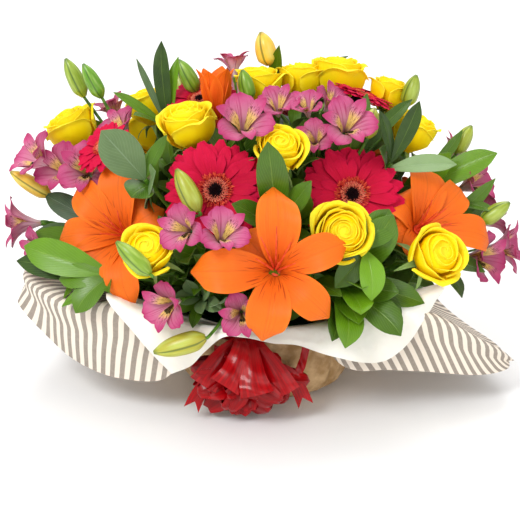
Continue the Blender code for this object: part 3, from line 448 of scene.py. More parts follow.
def add_node(tree: Tree, kind: str, inputs: dict | None = None, **settings: Any) -> bpy.types.Node:
    """Add a node with its settings and links.

    Args:
        tree: Tree that gets the node.
        kind: The node's type.
        inputs: Values or sockets for its inputs, by name or number.
        settings: Properties of the node; stops gives a colour ramp its places and hex codes.

    Returns:
        The node.
    """
    node = tree.nodes.new(kind)
    stops = settings.pop("stops", ())
    for key, value in settings.items():
        setattr(node, key, value)
    for number, (place, code) in enumerate(stops):
        elements = node.color_ramp.elements
        element = elements[number] if number < len(elements) else elements.new(place)
        element.position = place
        element.color = srgb(code)
    for key, value in (inputs or {}).items():
        if isinstance(value, Socket):
            tree.links.new(value, node.inputs[key])
        else:
            node.inputs[key].default_value = value
    return node


class Nodes:
    """A node tree, with the steps that the finishes and the geometry trees share."""

    def __init__(self, tree: Tree) -> None:
        """Take the tree that the nodes go in."""
        self.tree = tree

    def out(self, kind: str, inputs: dict | None = None, pick: int | str = 0, **settings: Any) -> Socket:
        """Add a node and pick one of its outputs."""
        return add_node(self.tree, kind, inputs, **settings).outputs[pick]

    def calc(self, operation: str, *values: Any) -> Socket:
        """Result of one sum."""
        return self.out("ShaderNodeMath", dict(enumerate(values)), operation=operation)

    def combine(self, *values: Any) -> Socket:
        """Vector of its X, Y and Z."""
        return self.out("ShaderNodeCombineXYZ", dict(enumerate(values)))


class Paint(Nodes):
    """The tree of a material, with the patterns that the finishes share."""

    @property
    def wide(self) -> Socket:
        """Runs from 0 to 1 across the blade."""
        return self.uv("X")

    @property
    def far(self) -> Socket:
        """Runs from 0 at the blade's root to 1 at its tip."""
        return self.uv("Y")

    @property
    def tone(self) -> Socket:
        """Tone of the blade."""
        return self.out("ShaderNodeAttribute", pick="Fac", attribute_name="tone")

    @property
    def underside(self) -> Socket:
        """1 on the blade's under face, 0 on its top."""
        return self.out("ShaderNodeAttribute", pick="Fac", attribute_name="underside")

    def uv(self, axis: str) -> Socket:
        """One side of the UV map."""
        return self.out("ShaderNodeSeparateXYZ", {0: self.out("ShaderNodeUVMap", uv_map="UVMap")}, axis)

    def noise(self, size_mm: float, detail: float = 3.0) -> Socket:
        """Noise in object space whose patches are about size_mm across."""
        return self.cloud(self.out("ShaderNodeTexCoord", pick="Object"), 1.0 / (size_mm * MM), detail)

    def streaks(self, across: float, along: float, detail: float = 2.0) -> Socket:
        """Noise drawn out along the blade: across streaks over its width, along over its length."""
        scaled = ((self.wide, across), (self.far, along), (self.tone, 37.0))
        place = self.combine(*(self.calc("MULTIPLY", *pair) for pair in scaled))
        return self.cloud(place, 1.0, detail)

    def cloud(self, place: Socket, scale: float, detail: float) -> Socket:
        """Noise read at a place."""
        return self.out("ShaderNodeTexNoise", {"Vector": place, "Scale": scale, "Detail": detail}, "Fac")

    def fitted(self, value: Socket, low: float, high: float) -> Socket:
        """Value taken from low..high to 0..1 and kept between them."""
        return self.out("ShaderNodeMapRange", {0: value, 1: low, 2: high}, interpolation_type="SMOOTHSTEP")

    def off_half(self, value: Socket) -> Socket:
        """How far a value is from one half."""
        return self.calc("ABSOLUTE", self.calc("SUBTRACT", value, 0.5))

    def middle_line(self, width: float) -> Socket:
        """1 on the middle line of the blade, falling to 0 at width either side."""
        return self.fitted(self.off_half(self.wide), width, 0.0)

    def zone(self, span: tuple) -> Socket:
        """1 within a span of the blade's length, fading to 0 outside it."""
        start, full, fade, end = span
        return self.calc("MULTIPLY", self.fitted(self.far, start, full), self.fitted(self.far, end, fade))

    def mix(self, share: Any, low: Any, high: Any) -> Socket:
        """Colour between low and high by a share; hex codes and sockets both serve."""
        low, high = (srgb(value) if isinstance(value, str) else value for value in (low, high))
        return self.out("ShaderNodeMix", {0: share, 6: low, 7: high}, 2, data_type="RGBA")

    def layered(self, colour: Socket, *layers: tuple) -> Socket:
        """Colour with layers over it, each a mask, its greatest share and a hex code."""
        for mask, share, over in layers:
            if share:
                colour = self.mix(self.calc("MULTIPLY", mask, share), colour, over)
        return colour


@dataclass(frozen=True)
class Finish:
    """A surface finish: a name, how rough it is and how much light passes into it."""

    name: str
    roughness: float
    specular: float = 0.5
    subsurface: float = 0.0
    subsurface_mm: float = 2.0
    coat: float = 0.0
    coat_roughness: float = 0.2
    bump_mm: float = 0.2

    def colour(self, paint: Paint) -> Socket:
        """Colour socket of the finish; each kind of finish makes its own."""
        raise NotImplementedError

    def relief(self, paint: Paint) -> Socket | None:
        """Height socket of the finish, or None where it is plain."""
        return None

    def material(self) -> bpy.types.Material:
        """The material, made once and then found again by its name."""
        found = bpy.data.materials.get(self.name)
        if found:
            return found
        material = bpy.data.materials.new(self.name)
        material.use_nodes = True
        paint = Paint(material.node_tree)
        shader = paint.tree.nodes["Principled BSDF"]
        plain = {
            "Roughness": self.roughness, "Specular IOR Level": self.specular,
            "Subsurface Weight": self.subsurface, "Subsurface Scale": self.subsurface_mm * MM,
            "Subsurface Radius": (1.0, 0.7, 0.4),
            "Coat Weight": self.coat, "Coat Roughness": self.coat_roughness,
        }
        for key, value in plain.items():
            shader.inputs[key].default_value = value
        paint.tree.links.new(self.colour(paint), shader.inputs["Base Color"])
        height = self.relief(paint)
        if height is not None:
            inputs = {"Height": height, "Distance": self.bump_mm * MM, "Strength": 1.0}
            paint.tree.links.new(paint.out("ShaderNodeBump", inputs, "Normal"), shader.inputs["Normal"])
        return material


@dataclass(frozen=True)
class PetalFinish(Finish):
    """Petal tissue: a ramp from root to tip, darker streaks along it and a lit edge.

    Petals are thin and full of water, so they are satin, and light passes into them.
    """

    ramp: tuple = ()
    streak: str = ""
    streak_share: float = 0.5
    streak_count: float = 16.0
    rib: str = ""
    rib_share: float = 0.0
    # Colour and share of the painted highlight along the petal's edges
    edge: str = ""
    edge_highlight_share: float = 0.0
    dark: str = ""
    dark_share: float = 0.0
    under: str = ""
    under_share: float = 0.0

    def colour(self, paint: Paint) -> Socket:
        """Ramp along the petal, with streaks, a rib, a painted highlight along its edges and a tone of its
        own.
        """
        shifted = paint.calc("MULTIPLY_ADD", paint.noise(9.0), 0.16, paint.far)
        along = paint.calc("SUBTRACT", shifted, 0.08)
        return paint.layered(
            paint.out("ShaderNodeValToRGB", {0: along}, stops=self.ramp),
            (paint.fitted(paint.streaks(self.streak_count, 1.3), 0.52, 0.72), self.streak_share, self.streak),
            (paint.middle_line(0.035), self.rib_share, self.rib),
            # Painted highlight: the edge colour lightens the petal's sides
            (paint.fitted(paint.off_half(paint.wide), 0.36, 0.5), self.edge_highlight_share, self.edge),
            (paint.tone, self.dark_share, self.dark),
            (paint.underside, self.under_share, self.under),
        )

    def relief(self, paint: Paint) -> Socket:
        """Fine veins that run along the petal."""
        return paint.streaks(self.streak_count * 1.6, 1.0, 3.0)


@dataclass(frozen=True)
class DashedFinish(PetalFinish):
    """Petal with a flash of another colour and rows of dark dashes over its lower part.

    A span gives where each starts, is full, starts to fade and ends, from root to tip.
    """

    flash: str = ""
    flash_share: float = 0.0
    flash_span: tuple = (0.12, 0.26, 0.42, 0.62)
    dash: str = "5a1018"
    dash_share: float = 0.75
    dash_span: tuple = (0.2, 0.3, 0.6, 0.78)
    dash_counts: tuple = (22.0, 12.0)
    dash_least: float = 0.58

    def colour(self, paint: Paint) -> Socket:
        """The petal's colour, then the flash, then the dashes."""
        dashes = paint.fitted(paint.streaks(*self.dash_counts, 0.0), self.dash_least, self.dash_least + 0.06)
        return paint.layered(
            super().colour(paint),
            (paint.zone(self.flash_span), self.flash_share, self.flash),
            (paint.zone(self.dash_span), paint.calc("MULTIPLY", dashes, self.dash_share), self.dash),
        )


@dataclass(frozen=True)
class LeafFinish(Finish):
    """Leaf with a waxy skin: a pale midrib, curved side veins and a paler under face."""

    dark: str = ""
    light: str = ""
    under: str = ""
    vein: str = "9cc060"
    vein_share: float = 0.35

    def colour(self, paint: Paint) -> Socket:
        """Tone of the leaf, blotched a little, with its veins and its under face."""
        blotch = paint.calc("MULTIPLY_ADD", paint.noise(14.0), 0.3, -0.15)
        return paint.layered(
            paint.mix(paint.calc("ADD", paint.tone, blotch), self.dark, self.light),
            (self.veins(paint), self.vein_share, self.vein),
            (paint.underside, 0.7, self.under),
        )

    def veins(self, paint: Paint) -> Socket:
        """The midrib, and veins that leave it and bend towards the tip."""
        bent = paint.calc("MULTIPLY_ADD", paint.off_half(paint.wide), -1.1, paint.far)
        line = paint.calc("SINE", paint.calc("MULTIPLY", bent, 70.0))
        faint = paint.calc("MULTIPLY", paint.fitted(line, 0.72, 1.0), 0.35)
        return paint.calc("MAXIMUM", paint.middle_line(0.03), faint)

    def relief(self, paint: Paint) -> Socket:
        """The veins lie a little below the leaf's face."""
        return paint.calc("SUBTRACT", 1.0, self.veins(paint))


@dataclass(frozen=True)
class BudFinish(Finish):
    """Closed lily bud: green that turns yellow as it ripens, with three seams."""

    green: str = "5f9418"
    ripe: str = "f0c040"
    flank: str = "c4dc74"
    seam: str = "2c5210"

    def colour(self, paint: Paint) -> Socket:
        """Ripeness by tone, pale flanks, dark seams and a darker tip."""
        wave = paint.calc("COSINE", paint.calc("MULTIPLY", paint.wide, 3 * FULL_CIRCLE))
        return paint.layered(
            paint.mix(paint.tone, self.green, self.ripe),
            (paint.fitted(paint.streaks(12.0, 1.5), 0.4, 0.75), 0.45, self.flank),
            (paint.fitted(wave, 0.9, 1.0), 0.7, self.seam),
            (paint.fitted(paint.far, 0.88, 1.0), 0.6, self.seam),
        )


@dataclass(frozen=True)
class PlainFinish(Finish):
    """Two near colours mottled over each other, with a grain of a real size."""

    first: str = ""
    second: str = ""
    patch_mm: float = 6.0
    grain_mm: float = 0.8

    def colour(self, paint: Paint) -> Socket:
        """The two colours, mottled."""
        return paint.mix(paint.fitted(paint.noise(self.patch_mm), 0.3, 0.7), self.first, self.second)

    def relief(self, paint: Paint) -> Socket:
        """The grain."""
        return paint.noise(self.grain_mm, 2.0)


@dataclass(frozen=True)
class StripedPaperFinish(Finish):
    """Matt wrapping paper printed with taupe stripes on cream; the UV map counts the stripes."""

    ground: str = "ece0d0"
    stripe: str = "90857a"
    filled: float = 0.5

    def colour(self, paint: Paint) -> Socket:
        """Stripes across the sheet's length, with the ink a little uneven."""
        away = paint.off_half(paint.calc("FRACT", paint.wide))
        ink = paint.fitted(away, self.filled / 2 + 0.03, self.filled / 2 - 0.03)
        worn = paint.calc("MULTIPLY_ADD", paint.noise(3.0), 0.25, 0.8)
        return paint.mix(paint.calc("MULTIPLY", ink, worn), self.ground, self.stripe)

    def relief(self, paint: Paint) -> Socket:
        """Soft handling creases."""
        return paint.noise(22.0, 4.0)


@dataclass(frozen=True)
class RibbonFinish(Finish):
    """Polypropylene ribbon: clear gloss over deep red, with fine lines drawn in its length."""

    deep: str = "820006"
    bright: str = "ac000a"

    def colour(self, paint: Paint) -> Socket:
        """Red that is a little uneven along the drawn lines."""
        return paint.mix(paint.fitted(paint.streaks(16.0, 2.0), 0.3, 0.7), self.deep, self.bright)

    def relief(self, paint: Paint) -> Socket:
        """The drawn lines."""
        return paint.streaks(46.0, 1.0, 1.0)


# Lily petal: orange tissue, dark at the throat with fine dashes, lighter towards the tip
LILY_PETAL = DashedFinish(
    "lily_petal_tissue", 0.5, 0.2, 0.12, 1.5, bump_mm=0.45,
    ramp=((0.0, "6e0c02"), (0.12, "b82a02"), (0.28, "d84602"), (0.62, "e45802"), (1.0, "ee6c0a")),
    streak="c83c02", streak_share=0.6, streak_count=17.0, rib="a02a02", rib_share=0.7,
    edge="f47a18", edge_highlight_share=0.45, dark="d84a02", dark_share=0.4, under="f07c20", under_share=0.5,
    dash="8a1602", dash_share=0.7, dash_span=(0.05, 0.12, 0.28, 0.48), dash_counts=(30.0, 5.0),
    dash_least=0.63,
)
# Rose petal: velvety yellow, deeper in the folds, with a painted highlight on its rim
ROSE_PETAL = PetalFinish(
    "rose_petal_tissue", 0.6, 0.12, 0.4, 3.5, bump_mm=0.12,
    ramp=((0.0, "ffb600"), (0.3, "ffc800"), (0.65, "ffda04"), (1.0, "ffe834")),
    streak="ffc400", streak_share=0.25, streak_count=20.0, edge="ffe83c", edge_highlight_share=0.4,
    dark="ffd000", dark_share=0.25,
)
# Gerbera ray: satin crimson with long grooves
GERBERA_RAY = PetalFinish(
    "gerbera_ray_tissue", 0.6, 0.08, 0.05, 1.5, bump_mm=0.5,
    ramp=((0.0, "900014"), (0.3, "d00030"), (1.0, "ec004a")),
    streak="b4001e", streak_share=0.45, streak_count=6.0, rib="980016", rib_share=0.35,
    edge="f0185a", edge_highlight_share=0.4, dark="c00026", dark_share=0.45, under="b01c3c", under_share=0.5,
)
# Alstroemeria, outer petal: mauve pink, deeper towards the rim, dark beneath
ALSTRO_OUTER = PetalFinish(
    "alstroemeria_outer_petal", 0.5, 0.2, 0.12, 1.5, bump_mm=0.4,
    ramp=((0.0, "b8b080"), (0.16, "f8e0e4"), (0.42, "fac8da"), (0.74, "e684b0"), (1.0, "b02664")),
    streak="ac2460", streak_share=0.75, streak_count=19.0, rib="ac2c64", rib_share=0.5,
    edge="c84480", edge_highlight_share=0.4, dark="8a1444", dark_share=0.8, under="a02458", under_share=0.5,
)
# Alstroemeria, inner petal: narrower, with a yellow flash under dark dashes
ALSTRO_INNER = DashedFinish(
    "alstroemeria_inner_petal", 0.5, 0.2, 0.12, 1.5, bump_mm=0.25,
    ramp=((0.0, "b8b060"), (0.3, "f4dcc4"), (0.54, "f2b4ca"), (0.78, "d45c90"), (1.0, "a01c54")),
    streak="b02860", streak_share=0.5, streak_count=9.0, dark="8a1444", dark_share=0.7,
    under="a83464", under_share=0.5, flash="f0d468", flash_share=0.75,
)
# Broad leaves: glossy cuticle over green tissue
GLOSSY_LEAF = LeafFinish(
    "glossy_leaf", 0.36, 0.4, 0.05, 1.0, 0.08, 0.3, bump_mm=0.3,
    dark="122c04", light="6c9c12", under="7c9c50", vein="98b850", vein_share=0.3,
)
# Sage leaves: a powdery bloom on the skin makes them grey green and dull
GREY_LEAF = LeafFinish(
    "grey_green_leaf", 0.42, 0.4, 0.05, 1.0, bump_mm=0.2,
    dark="24401f", light="84a068", under="90a884", vein="a8c0a0", vein_share=0.25,
)
# Skins and fine parts, all living tissue: satin, softly mottled, a little light passes into them
LILY_BUD = BudFinish("lily_bud_skin", 0.38, 0.5, 0.1, 1.5, 0.1)
SEPAL = LeafFinish("rose_sepal", 0.45, 0.4, dark="3c6414", light="7ea038", under="90ae60")
STEM_SKIN = PlainFinish("green_stem_skin", 0.45, 0.4, first="5c8a20", second="2c5010")
FILAMENT = PlainFinish("lily_filament", 0.45, 0.3, 0.1, 1.0, first="ea5a34", second="d0401c")
EYE_FILAMENT = PlainFinish(
    "gerbera_coral_floret", 0.6, 0.2, 0.1, 1.0, first="f49a78", second="d84c48", patch_mm=1.6
)
LONG_FILAMENT = PlainFinish(
    "gerbera_red_filament", 0.6, 0.2, 0.1, 1.0, first="e8603c", second="b80820", patch_mm=2.0
)
# Dry, dusty parts: dull and without depth
EYE_DARK = PlainFinish("gerbera_dark_disc", 0.8, 0.2, first="2a0610", second="12030a", grain_mm=1.2)
ANTHER = PlainFinish("alstroemeria_anther", 0.7, 0.2, first="5a4a20", second="241810")
# Thin bleached paper: matt, rippled, and the light shines into it
WHITE_PAPER = PlainFinish(
    "white_wrapping_paper", 0.8, 0.2, 0.06, 1.0, first="faf7ee", second="efebe0",
    patch_mm=60.0, grain_mm=16.0, bump_mm=2.4,
)
# Printed paper with a faint sheen of ink
STRIPED_PAPER = StripedPaperFinish("striped_wrapping_paper", 0.72, 0.3, bump_mm=0.8)
# Unbleached paper: brown fibres, crumpled by hand. Its two browns are the lit and the shaded paper, mottled
# in patches: painted light and shade over the fibres' own colour
KRAFT_PAPER = PlainFinish(
    "brown_kraft_paper", 0.8, 0.25, first="d2b084", second="a88456", patch_mm=14.0, grain_mm=5.0, bump_mm=1.6,
)
# Drawn plastic film: gloss that keeps its lines
RIBBON = RibbonFinish("gloss_red_ribbon", 0.3, 0.2, 0.0, 1.0, 0.16, 0.05, bump_mm=0.015)
# Soaked open foam: dark, dull and grainy
FOAM = PlainFinish("wet_floral_foam", 0.95, 0.1, first="1c3a1c", second="0e2410", patch_mm=2.0, grain_mm=0.9)
# Moulded plastic: smooth, with an even shine
BOWL_PLASTIC = PlainFinish("moulded_green_plastic", 0.45, 0.5, first="10301a", second="0c2614", patch_mm=30.0)


# Geometry Nodes


class SocketKind(Enum):
    """Kinds of input that a node tree takes."""

    NUMBER = "NodeSocketFloat"
    COUNT = "NodeSocketInt"
    PIECE = "NodeSocketObject"
    MATERIAL = "NodeSocketMaterial"


class GeometryTree(Nodes):
    """A geometry tree with named inputs, which gives a plain mesh when it is run."""

    TITLE: ClassVar[str]
    INPUTS: ClassVar[dict[SocketKind, tuple[str, ...]]]

    def __init__(self) -> None:
        """Make the tree, its inputs and its output."""
        super().__init__(bpy.data.node_groups.new(self.TITLE, "GeometryNodeTree"))
        sockets = [("Geometry", "INPUT", "NodeSocketGeometry"), ("Geometry", "OUTPUT", "NodeSocketGeometry")]
        sockets += [(name, "INPUT", kind.value) for kind, names in self.INPUTS.items() for name in names]
        for name, way, kind in sockets:
            self.tree.interface.new_socket(name, in_out=way, socket_type=kind)
        source = add_node(self.tree, "NodeGroupInput").outputs
        add_node(self.tree, "NodeGroupOutput", {0: self.result(source)})

    def result(self, source: Any) -> Socket:
        """Geometry that the tree makes from its inputs; each kind of tree has its own."""
        raise NotImplementedError

    def random(self, low: Any, high: Any, seed: Any) -> Socket:
        """Random number between low and high for each copy."""
        return self.out("FunctionNodeRandomValue", {2: low, 3: high, "Seed": seed}, 1, data_type="FLOAT")

    def dressed(self, shape: Socket, material: Socket) -> Socket:
        """Geometry with a material."""
        return self.out("GeometryNodeSetMaterial", {"Geometry": shape, "Material": material})

    def copies(self, part: Socket, places: dict, tone: Socket, material: Socket) -> Socket:
        """Copies of a part, each with a tone of its own, made real and given a material.

        Args:
            part: The part's object.
            places: Points, rotation and scale of the copies.
            tone: Tone of each copy.
            material: Their material.

        Returns:
            The copies as one geometry.
        """
        shape = self.out("GeometryNodeObjectInfo", {"Object": part}, "Geometry")
        made = self.out("GeometryNodeInstanceOnPoints", {"Instance": shape, **places})
        named = {"Geometry": made, "Name": "tone", "Value": tone}
        toned = self.out("GeometryNodeStoreNamedAttribute", named, data_type="FLOAT", domain="INSTANCE")
        return self.dressed(self.out("GeometryNodeRealizeInstances", {"Geometry": toned}), material)

    def run(self, base: Mesh, values: dict[str, Any]) -> Mesh:
        """Run the tree on a mesh and return the result as a plain mesh.

        Args:
            base: Mesh that the tree starts from.
            values: Value of each named input.

        Returns:
            The new mesh, with no modifier left.
        """
        carrier = bpy.data.objects.new("carrier", base)
        bpy.context.scene.collection.objects.link(carrier)
        modifier = carrier.modifiers.new("rule", "NODES")
        modifier.node_group = self.tree
        for item in self.tree.interface.items_tree:
            if item.in_out == "INPUT" and item.name in values:
                modifier[item.identifier] = values[item.name]
        bpy.context.view_layer.update()
        graph = bpy.context.evaluated_depsgraph_get()
        mesh = bpy.data.meshes.new_from_object(carrier.evaluated_get(graph))
        carrier.modifiers.remove(modifier)
        bpy.data.objects.remove(carrier)
        return mesh


class WhorlTree(GeometryTree):
    """Sets copies of one part round an axis, by a turn for each copy."""

    TITLE = "whorl"
    INPUTS = {
        SocketKind.PIECE: ("Part",),
        SocketKind.COUNT: ("Count", "Seed"),
        SocketKind.NUMBER: (
            "Turn step", "Turn jitter", "Inner radius", "Outer radius", "Inner height", "Outer height",
            "Inner tilt", "Outer tilt", "Tilt jitter", "Least size", "Greatest size",
        ),
        SocketKind.MATERIAL: ("Material",),
    }

    def result(self, source: Any) -> Socket:
        """The copies, from the inner radius out, evenly spread over the ring between."""
        seeds = [self.calc("ADD", source["Seed"], 101.0 * stream) for stream in (1, 2, 3, 4)]
        index = self.out("GeometryNodeInputIndex")
        share = self.calc("POWER", self.calc("DIVIDE", index, source["Count"]), 0.5)
        radius, height, tilt = (self.between(share, source, title) for title in ("radius", "height", "tilt"))
        turned = self.calc("MULTIPLY", index, source["Turn step"])
        turn = self.calc("MULTIPLY_ADD", self.random(-1.0, 1.0, seeds[0]), source["Turn jitter"], turned)
        flat = (self.calc("MULTIPLY", radius, self.calc(wave, turn)) for wave in ("COSINE", "SINE"))
        position = self.combine(*flat, height)
        tilt = self.calc("MULTIPLY_ADD", self.random(-1.0, 1.0, seeds[1]), source["Tilt jitter"], tilt)
        places = {
            "Points": self.out("GeometryNodePoints", {"Count": source["Count"], "Position": position}),
            "Rotation": self.combine(0.0, self.calc("MULTIPLY", tilt, -1.0), turn),
            "Scale": self.random(source["Least size"], source["Greatest size"], seeds[2]),
        }
        return self.copies(source["Part"], places, self.random(0.0, 1.0, seeds[3]), source["Material"])

    def between(self, share: Socket, source: Any, title: str) -> Socket:
        """Value between an inner and an outer input, by a share."""
        low, high = source[f"Inner {title}"], source[f"Outer {title}"]
        return self.calc("MULTIPLY_ADD", share, self.calc("SUBTRACT", high, low), low)


class SprigTree(GeometryTree):
    """Sets leaves along the stems of a sprig, each turned on from the last."""

    TITLE = "sprig"
    INPUTS = {
        SocketKind.PIECE: ("Leaf",),
        SocketKind.NUMBER: (
            "Spacing", "Bare share", "Leaf angle", "Least size", "Greatest size", "Stem radius",
        ),
        SocketKind.COUNT: ("Seed",),
        SocketKind.MATERIAL: ("Leaf material", "Stem material"),
    }
    STEM_SIDES = 5
    # Sprig leaves keep to the darker tones: painted shade in the gaps between the flowers
    PAINTED_SHADE_TONE_CAP = 0.6

    def result(self, source: Any) -> Socket:
        """The stems as tubes, and the leaves along them."""
        lines = self.out("GeometryNodeMeshToCurve", {0: source["Geometry"]})
        circle = {"Resolution": self.STEM_SIDES, "Radius": source["Stem radius"]}
        ring = self.out("GeometryNodeCurvePrimitiveCircle", circle, mode="RADIUS")
        tube = self.out("GeometryNodeCurveToMesh", {"Curve": lines, "Profile Curve": ring, "Fill Caps": True})
        trimmed = self.out("GeometryNodeTrimCurve", {"Curve": lines, 2: source["Bare share"]}, mode="FACTOR")
        spaced = {"Curve": trimmed, "Length": source["Spacing"]}
        spots = add_node(self.tree, "GeometryNodeCurveToPoints", spaced, mode="LENGTH").outputs
        turn = self.calc("MULTIPLY", self.out("GeometryNodeInputIndex"), math.radians(GOLDEN_TURN))
        rotation = spots["Rotation"]
        for turned in (self.combine(0.0, 0.0, turn), self.combine(0.0, source["Leaf angle"])):
            both = {0: rotation, 1: turned}
            rotation = self.out("FunctionNodeRotateRotation", both, rotation_space="LOCAL")
        size = self.random(source["Least size"], source["Greatest size"], source["Seed"])
        # Painted shade: the tones stop short of the leaf's light end
        tone = self.random(0.0, self.PAINTED_SHADE_TONE_CAP, source["Seed"])
        places = {"Points": spots[0], "Rotation": rotation, "Scale": size}
        leaves = self.copies(source["Leaf"], places, tone, source["Leaf material"])
        joined = add_node(self.tree, "GeometryNodeJoinGeometry", {0: leaves})
        self.tree.links.new(self.dressed(tube, source["Stem material"]), joined.inputs[0])
        return joined.outputs[0]


def part_object(name: str, surface: Surface) -> Thing:
    """Loose object that a tree copies; it is removed after the tree has run."""
    return bpy.data.objects.new(name, surface.mesh(name, ()))


@dataclass(frozen=True)
class Whorl:
    """Copies of one part round a bloom's axis: radii, heights and sizes in millimetres."""

    count: int
    turn_step: float
    radii: tuple[float, float]
    heights: tuple[float, float]
    tilts: tuple[float, float]
    turn_jitter: float
    tilt_jitter: float
    sizes: tuple[float, float]
    seed: int

    def mesh(self, tree: WhorlTree, part: Thing, finish: Finish, place: Place) -> Mesh:
        """Run the tree and carry the result to a bloom.

        Args:
            tree: The whorl tree.
            part: The part that is copied.
            finish: Its finish.
            place: Place of the bloom.

        Returns:
            The mesh, in place.
        """
        values = {
            "Part": part, "Count": self.count, "Seed": self.seed, "Material": finish.material(),
            "Turn step": math.radians(self.turn_step), "Turn jitter": math.radians(self.turn_jitter),
            "Tilt jitter": math.radians(self.tilt_jitter),
            "Least size": self.sizes[0] * place.size, "Greatest size": self.sizes[1] * place.size,
        }
        scale = MM * place.size
        for number, end in enumerate(("Inner", "Outer")):
            values[f"{end} radius"] = self.radii[number] * scale
            values[f"{end} height"] = self.heights[number] * scale
            values[f"{end} tilt"] = math.radians(self.tilts[number])
        mesh = tree.run(bpy.data.meshes.new("seed"), values)
        matrix = place.matrix
        matrix[:3, 3] *= MM
        mesh.transform(Matrix(matrix.tolist()))
        return mesh


# Petals


@dataclass(frozen=True)
class PetalShape:
    """Petal of a star: its middle line as radius and height, half widths and edge lifts."""

    line: tuple
    half_widths: tuple
    lifts: tuple
    ruffle: float = 0.8
    waves: float = 2.0
    corner: float = 0.0
    notch: float = 0.0

    def grid(
        self, turn: float, length: float, width: float, phase: float, rows: int = 22, columns: int = 11,
        sweep: float = 0.0,
    ) -> Array:
        """Points of one petal round the Z axis.

        Args:
            turn: Turn of the petal in degrees.
            length: Share of the full length.
            width: Share of the full width.
            phase: Where its ruffle starts, in radians.
            rows: Rows along the petal.
            columns: Columns across it.
            sweep: How far its tip bends to the side.

        Returns:
            The grid of points.
        """
        along, across = even(rows)[:, None], side_to_side(columns)
        line = smooth(self.line, along[:, 0]) * length
        half = np.maximum(smooth(self.half_widths, along[:, 0]), 0.25) * width
        lift = smooth(self.lifts, along[:, 0]) * width
        angle = math.radians(turn)
        out = np.array((math.cos(angle), math.sin(angle), 0.0))
        side = np.array((-math.sin(angle), math.cos(angle), 0.0))
        middle = line[:, :1] * out + line[:, 1:] * UP + side * (sweep * along**2)
        ahead = unit(np.gradient(middle, axis=0))
        normal = -unit(np.cross(side, ahead))
        wave = np.sin(along * self.waves * 2 * math.pi + phase + (across > 0) * 1.7)
        raised = lift[:, None] * np.abs(across) ** 1.5
        raised = raised + wave * self.ruffle * width * across**2 * np.sin(along * math.pi)
        drawn = (self.corner * across**4 + self.notch * (1 - np.abs(across)) ** 3) * width
        grid = grid_along(middle, side, half[:, None] * across, normal[:, None, :], raised)
        return grid - ahead[:, None, :] * (along**8 * drawn)[..., None]


LILY_OPEN = PetalShape(
    ((2, 2), (8.5, 10), (16, 18), (27, 26), (38, 31), (48, 31.5), (58, 28), (65, 21), (70, 12)),
    (2.8, 6.8, 11.8, 16.8, 19.4, 19.0, 16.0, 10.0, 1.2), (1.2, 3.0, 4.5, 5.0, 4.0, 1.5, -1.5, -3.0, -0.5),
    ruffle=1.5, waves=1.6,
)
LILY_SHUT = PetalShape(
    ((2, 2), (7, 13), (12, 25), (15.5, 37), (17.5, 48), (19, 58), (23, 67)),
    (3.0, 7.0, 10.5, 12.5, 12.0, 8.5, 0.8), (1.0, 3.0, 4.5, 5.5, 5.0, 3.0, 0.0), ruffle=0.5,
)
ALSTRO_BROAD = PetalShape(
    ((1.5, 0), (4.2, 10), (9, 19), (15, 26), (21.5, 31), (28, 33)),
    (1.4, 3.6, 8.5, 12.6, 12.4, 6.0), (0.3, 1.6, 3.6, 4.0, 2.0, -1.4),
    ruffle=1.6, waves=1.7, corner=4.0, notch=1.8,
)
ALSTRO_NARROW = PetalShape(
    ((1.5, 0), (4, 12), (8.5, 23), (14, 31), (20, 36), (26, 38)),
    (1.0, 2.2, 4.2, 6.4, 5.6, 0.7), (0.3, 0.8, 1.8, 2.4, 1.6, 0.0), ruffle=0.7,
)
GERBERA_RAY_SHAPE = PetalShape(
    ((0, 0), (9, 1.6), (18, 2.6), (27, 2.8), (37, 1.2)),
    (2.4, 4.8, 6.4, 6.8, 3.2), (0.8, 1.1, 0.9, 0.2, -0.8), ruffle=0.5, corner=2.6, notch=1.0,
)
SEPAL_SHAPE = PetalShape(
    ((4, -3), (10, -4), (17, -5), (24, -10), (29, -17)), (2.6, 3.4, 2.6, 1.6, 0.3), (0.5, 0.6, 0.4, 0.2, 0.0)
)


@dataclass
class Piece:
    """What one node stands for: its name, its seed, and whether only the scene has it.

    Each has a surface to gather in, and a source of small differences.
    """

    SEED_START: ClassVar[int] = 0
    SLOT: ClassVar[str] = "leaf"

    node: str
    seed: int = field(default=0, kw_only=True)
    added: bool = field(default=False, kw_only=True)
    surface: Surface = field(default_factory=Surface, init=False)
    draw: Draw = field(init=False)

    def __post_init__(self) -> None:
        """Start the random draws from the seed."""
        self.draw = np.random.default_rng(self.SEED_START + self.seed)

    def add(self, ending: str, *finishes: Finish) -> None:
        """Put what is gathered in the scene, with finishes by slot, for the node if it has one."""
        mesh = self.surface.mesh(self.node, [finish.material() for finish in finishes])
        add_piece(f"{self.node}_{ending}", mesh, self.SLOT, *(() if self.added else (self.node,)))

    def add_core(self, place: Place, profile: Iterable, sides: int, slot: int) -> None:
        """Add a round body on a bloom's axis.

        Args:
            place: Place of the bloom.
            profile: Radius and height of each of its rings.
            sides: Sides of the body.
            slot: Number of its material.
        """
        path = carried(place.matrix, np.array([(0.0, 0.0, height * place.size) for _, height in profile]))
        self.surface.tube(path, np.array([radius for radius, _ in profile]) * place.size, sides, slot=slot)


@dataclass
class Bloom(Piece):
    """A bloom on its own stem, with its place."""

    place: Place

    def add_stem(self, slot: int, start: float) -> None:
        """Add the stem from a height on the bloom's axis to the foam."""
        place = self.place
        base = place.base + place.facing * start
        path = stem_path(place.turn, place.lift, base, place.facing, BLOOM_NECK, STEM_STEPS)
        self.surface.tube(path, STEM_RADIUS, STEM_SIDES, slot=slot)


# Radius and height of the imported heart, which closes the gaps between a rose's inner petals
ROSE_HEART = ((0.5, 8), (15, 12), (19, 26), (18, 31.5), (13, 35), (6, 36.2), (0.5, 36.6))


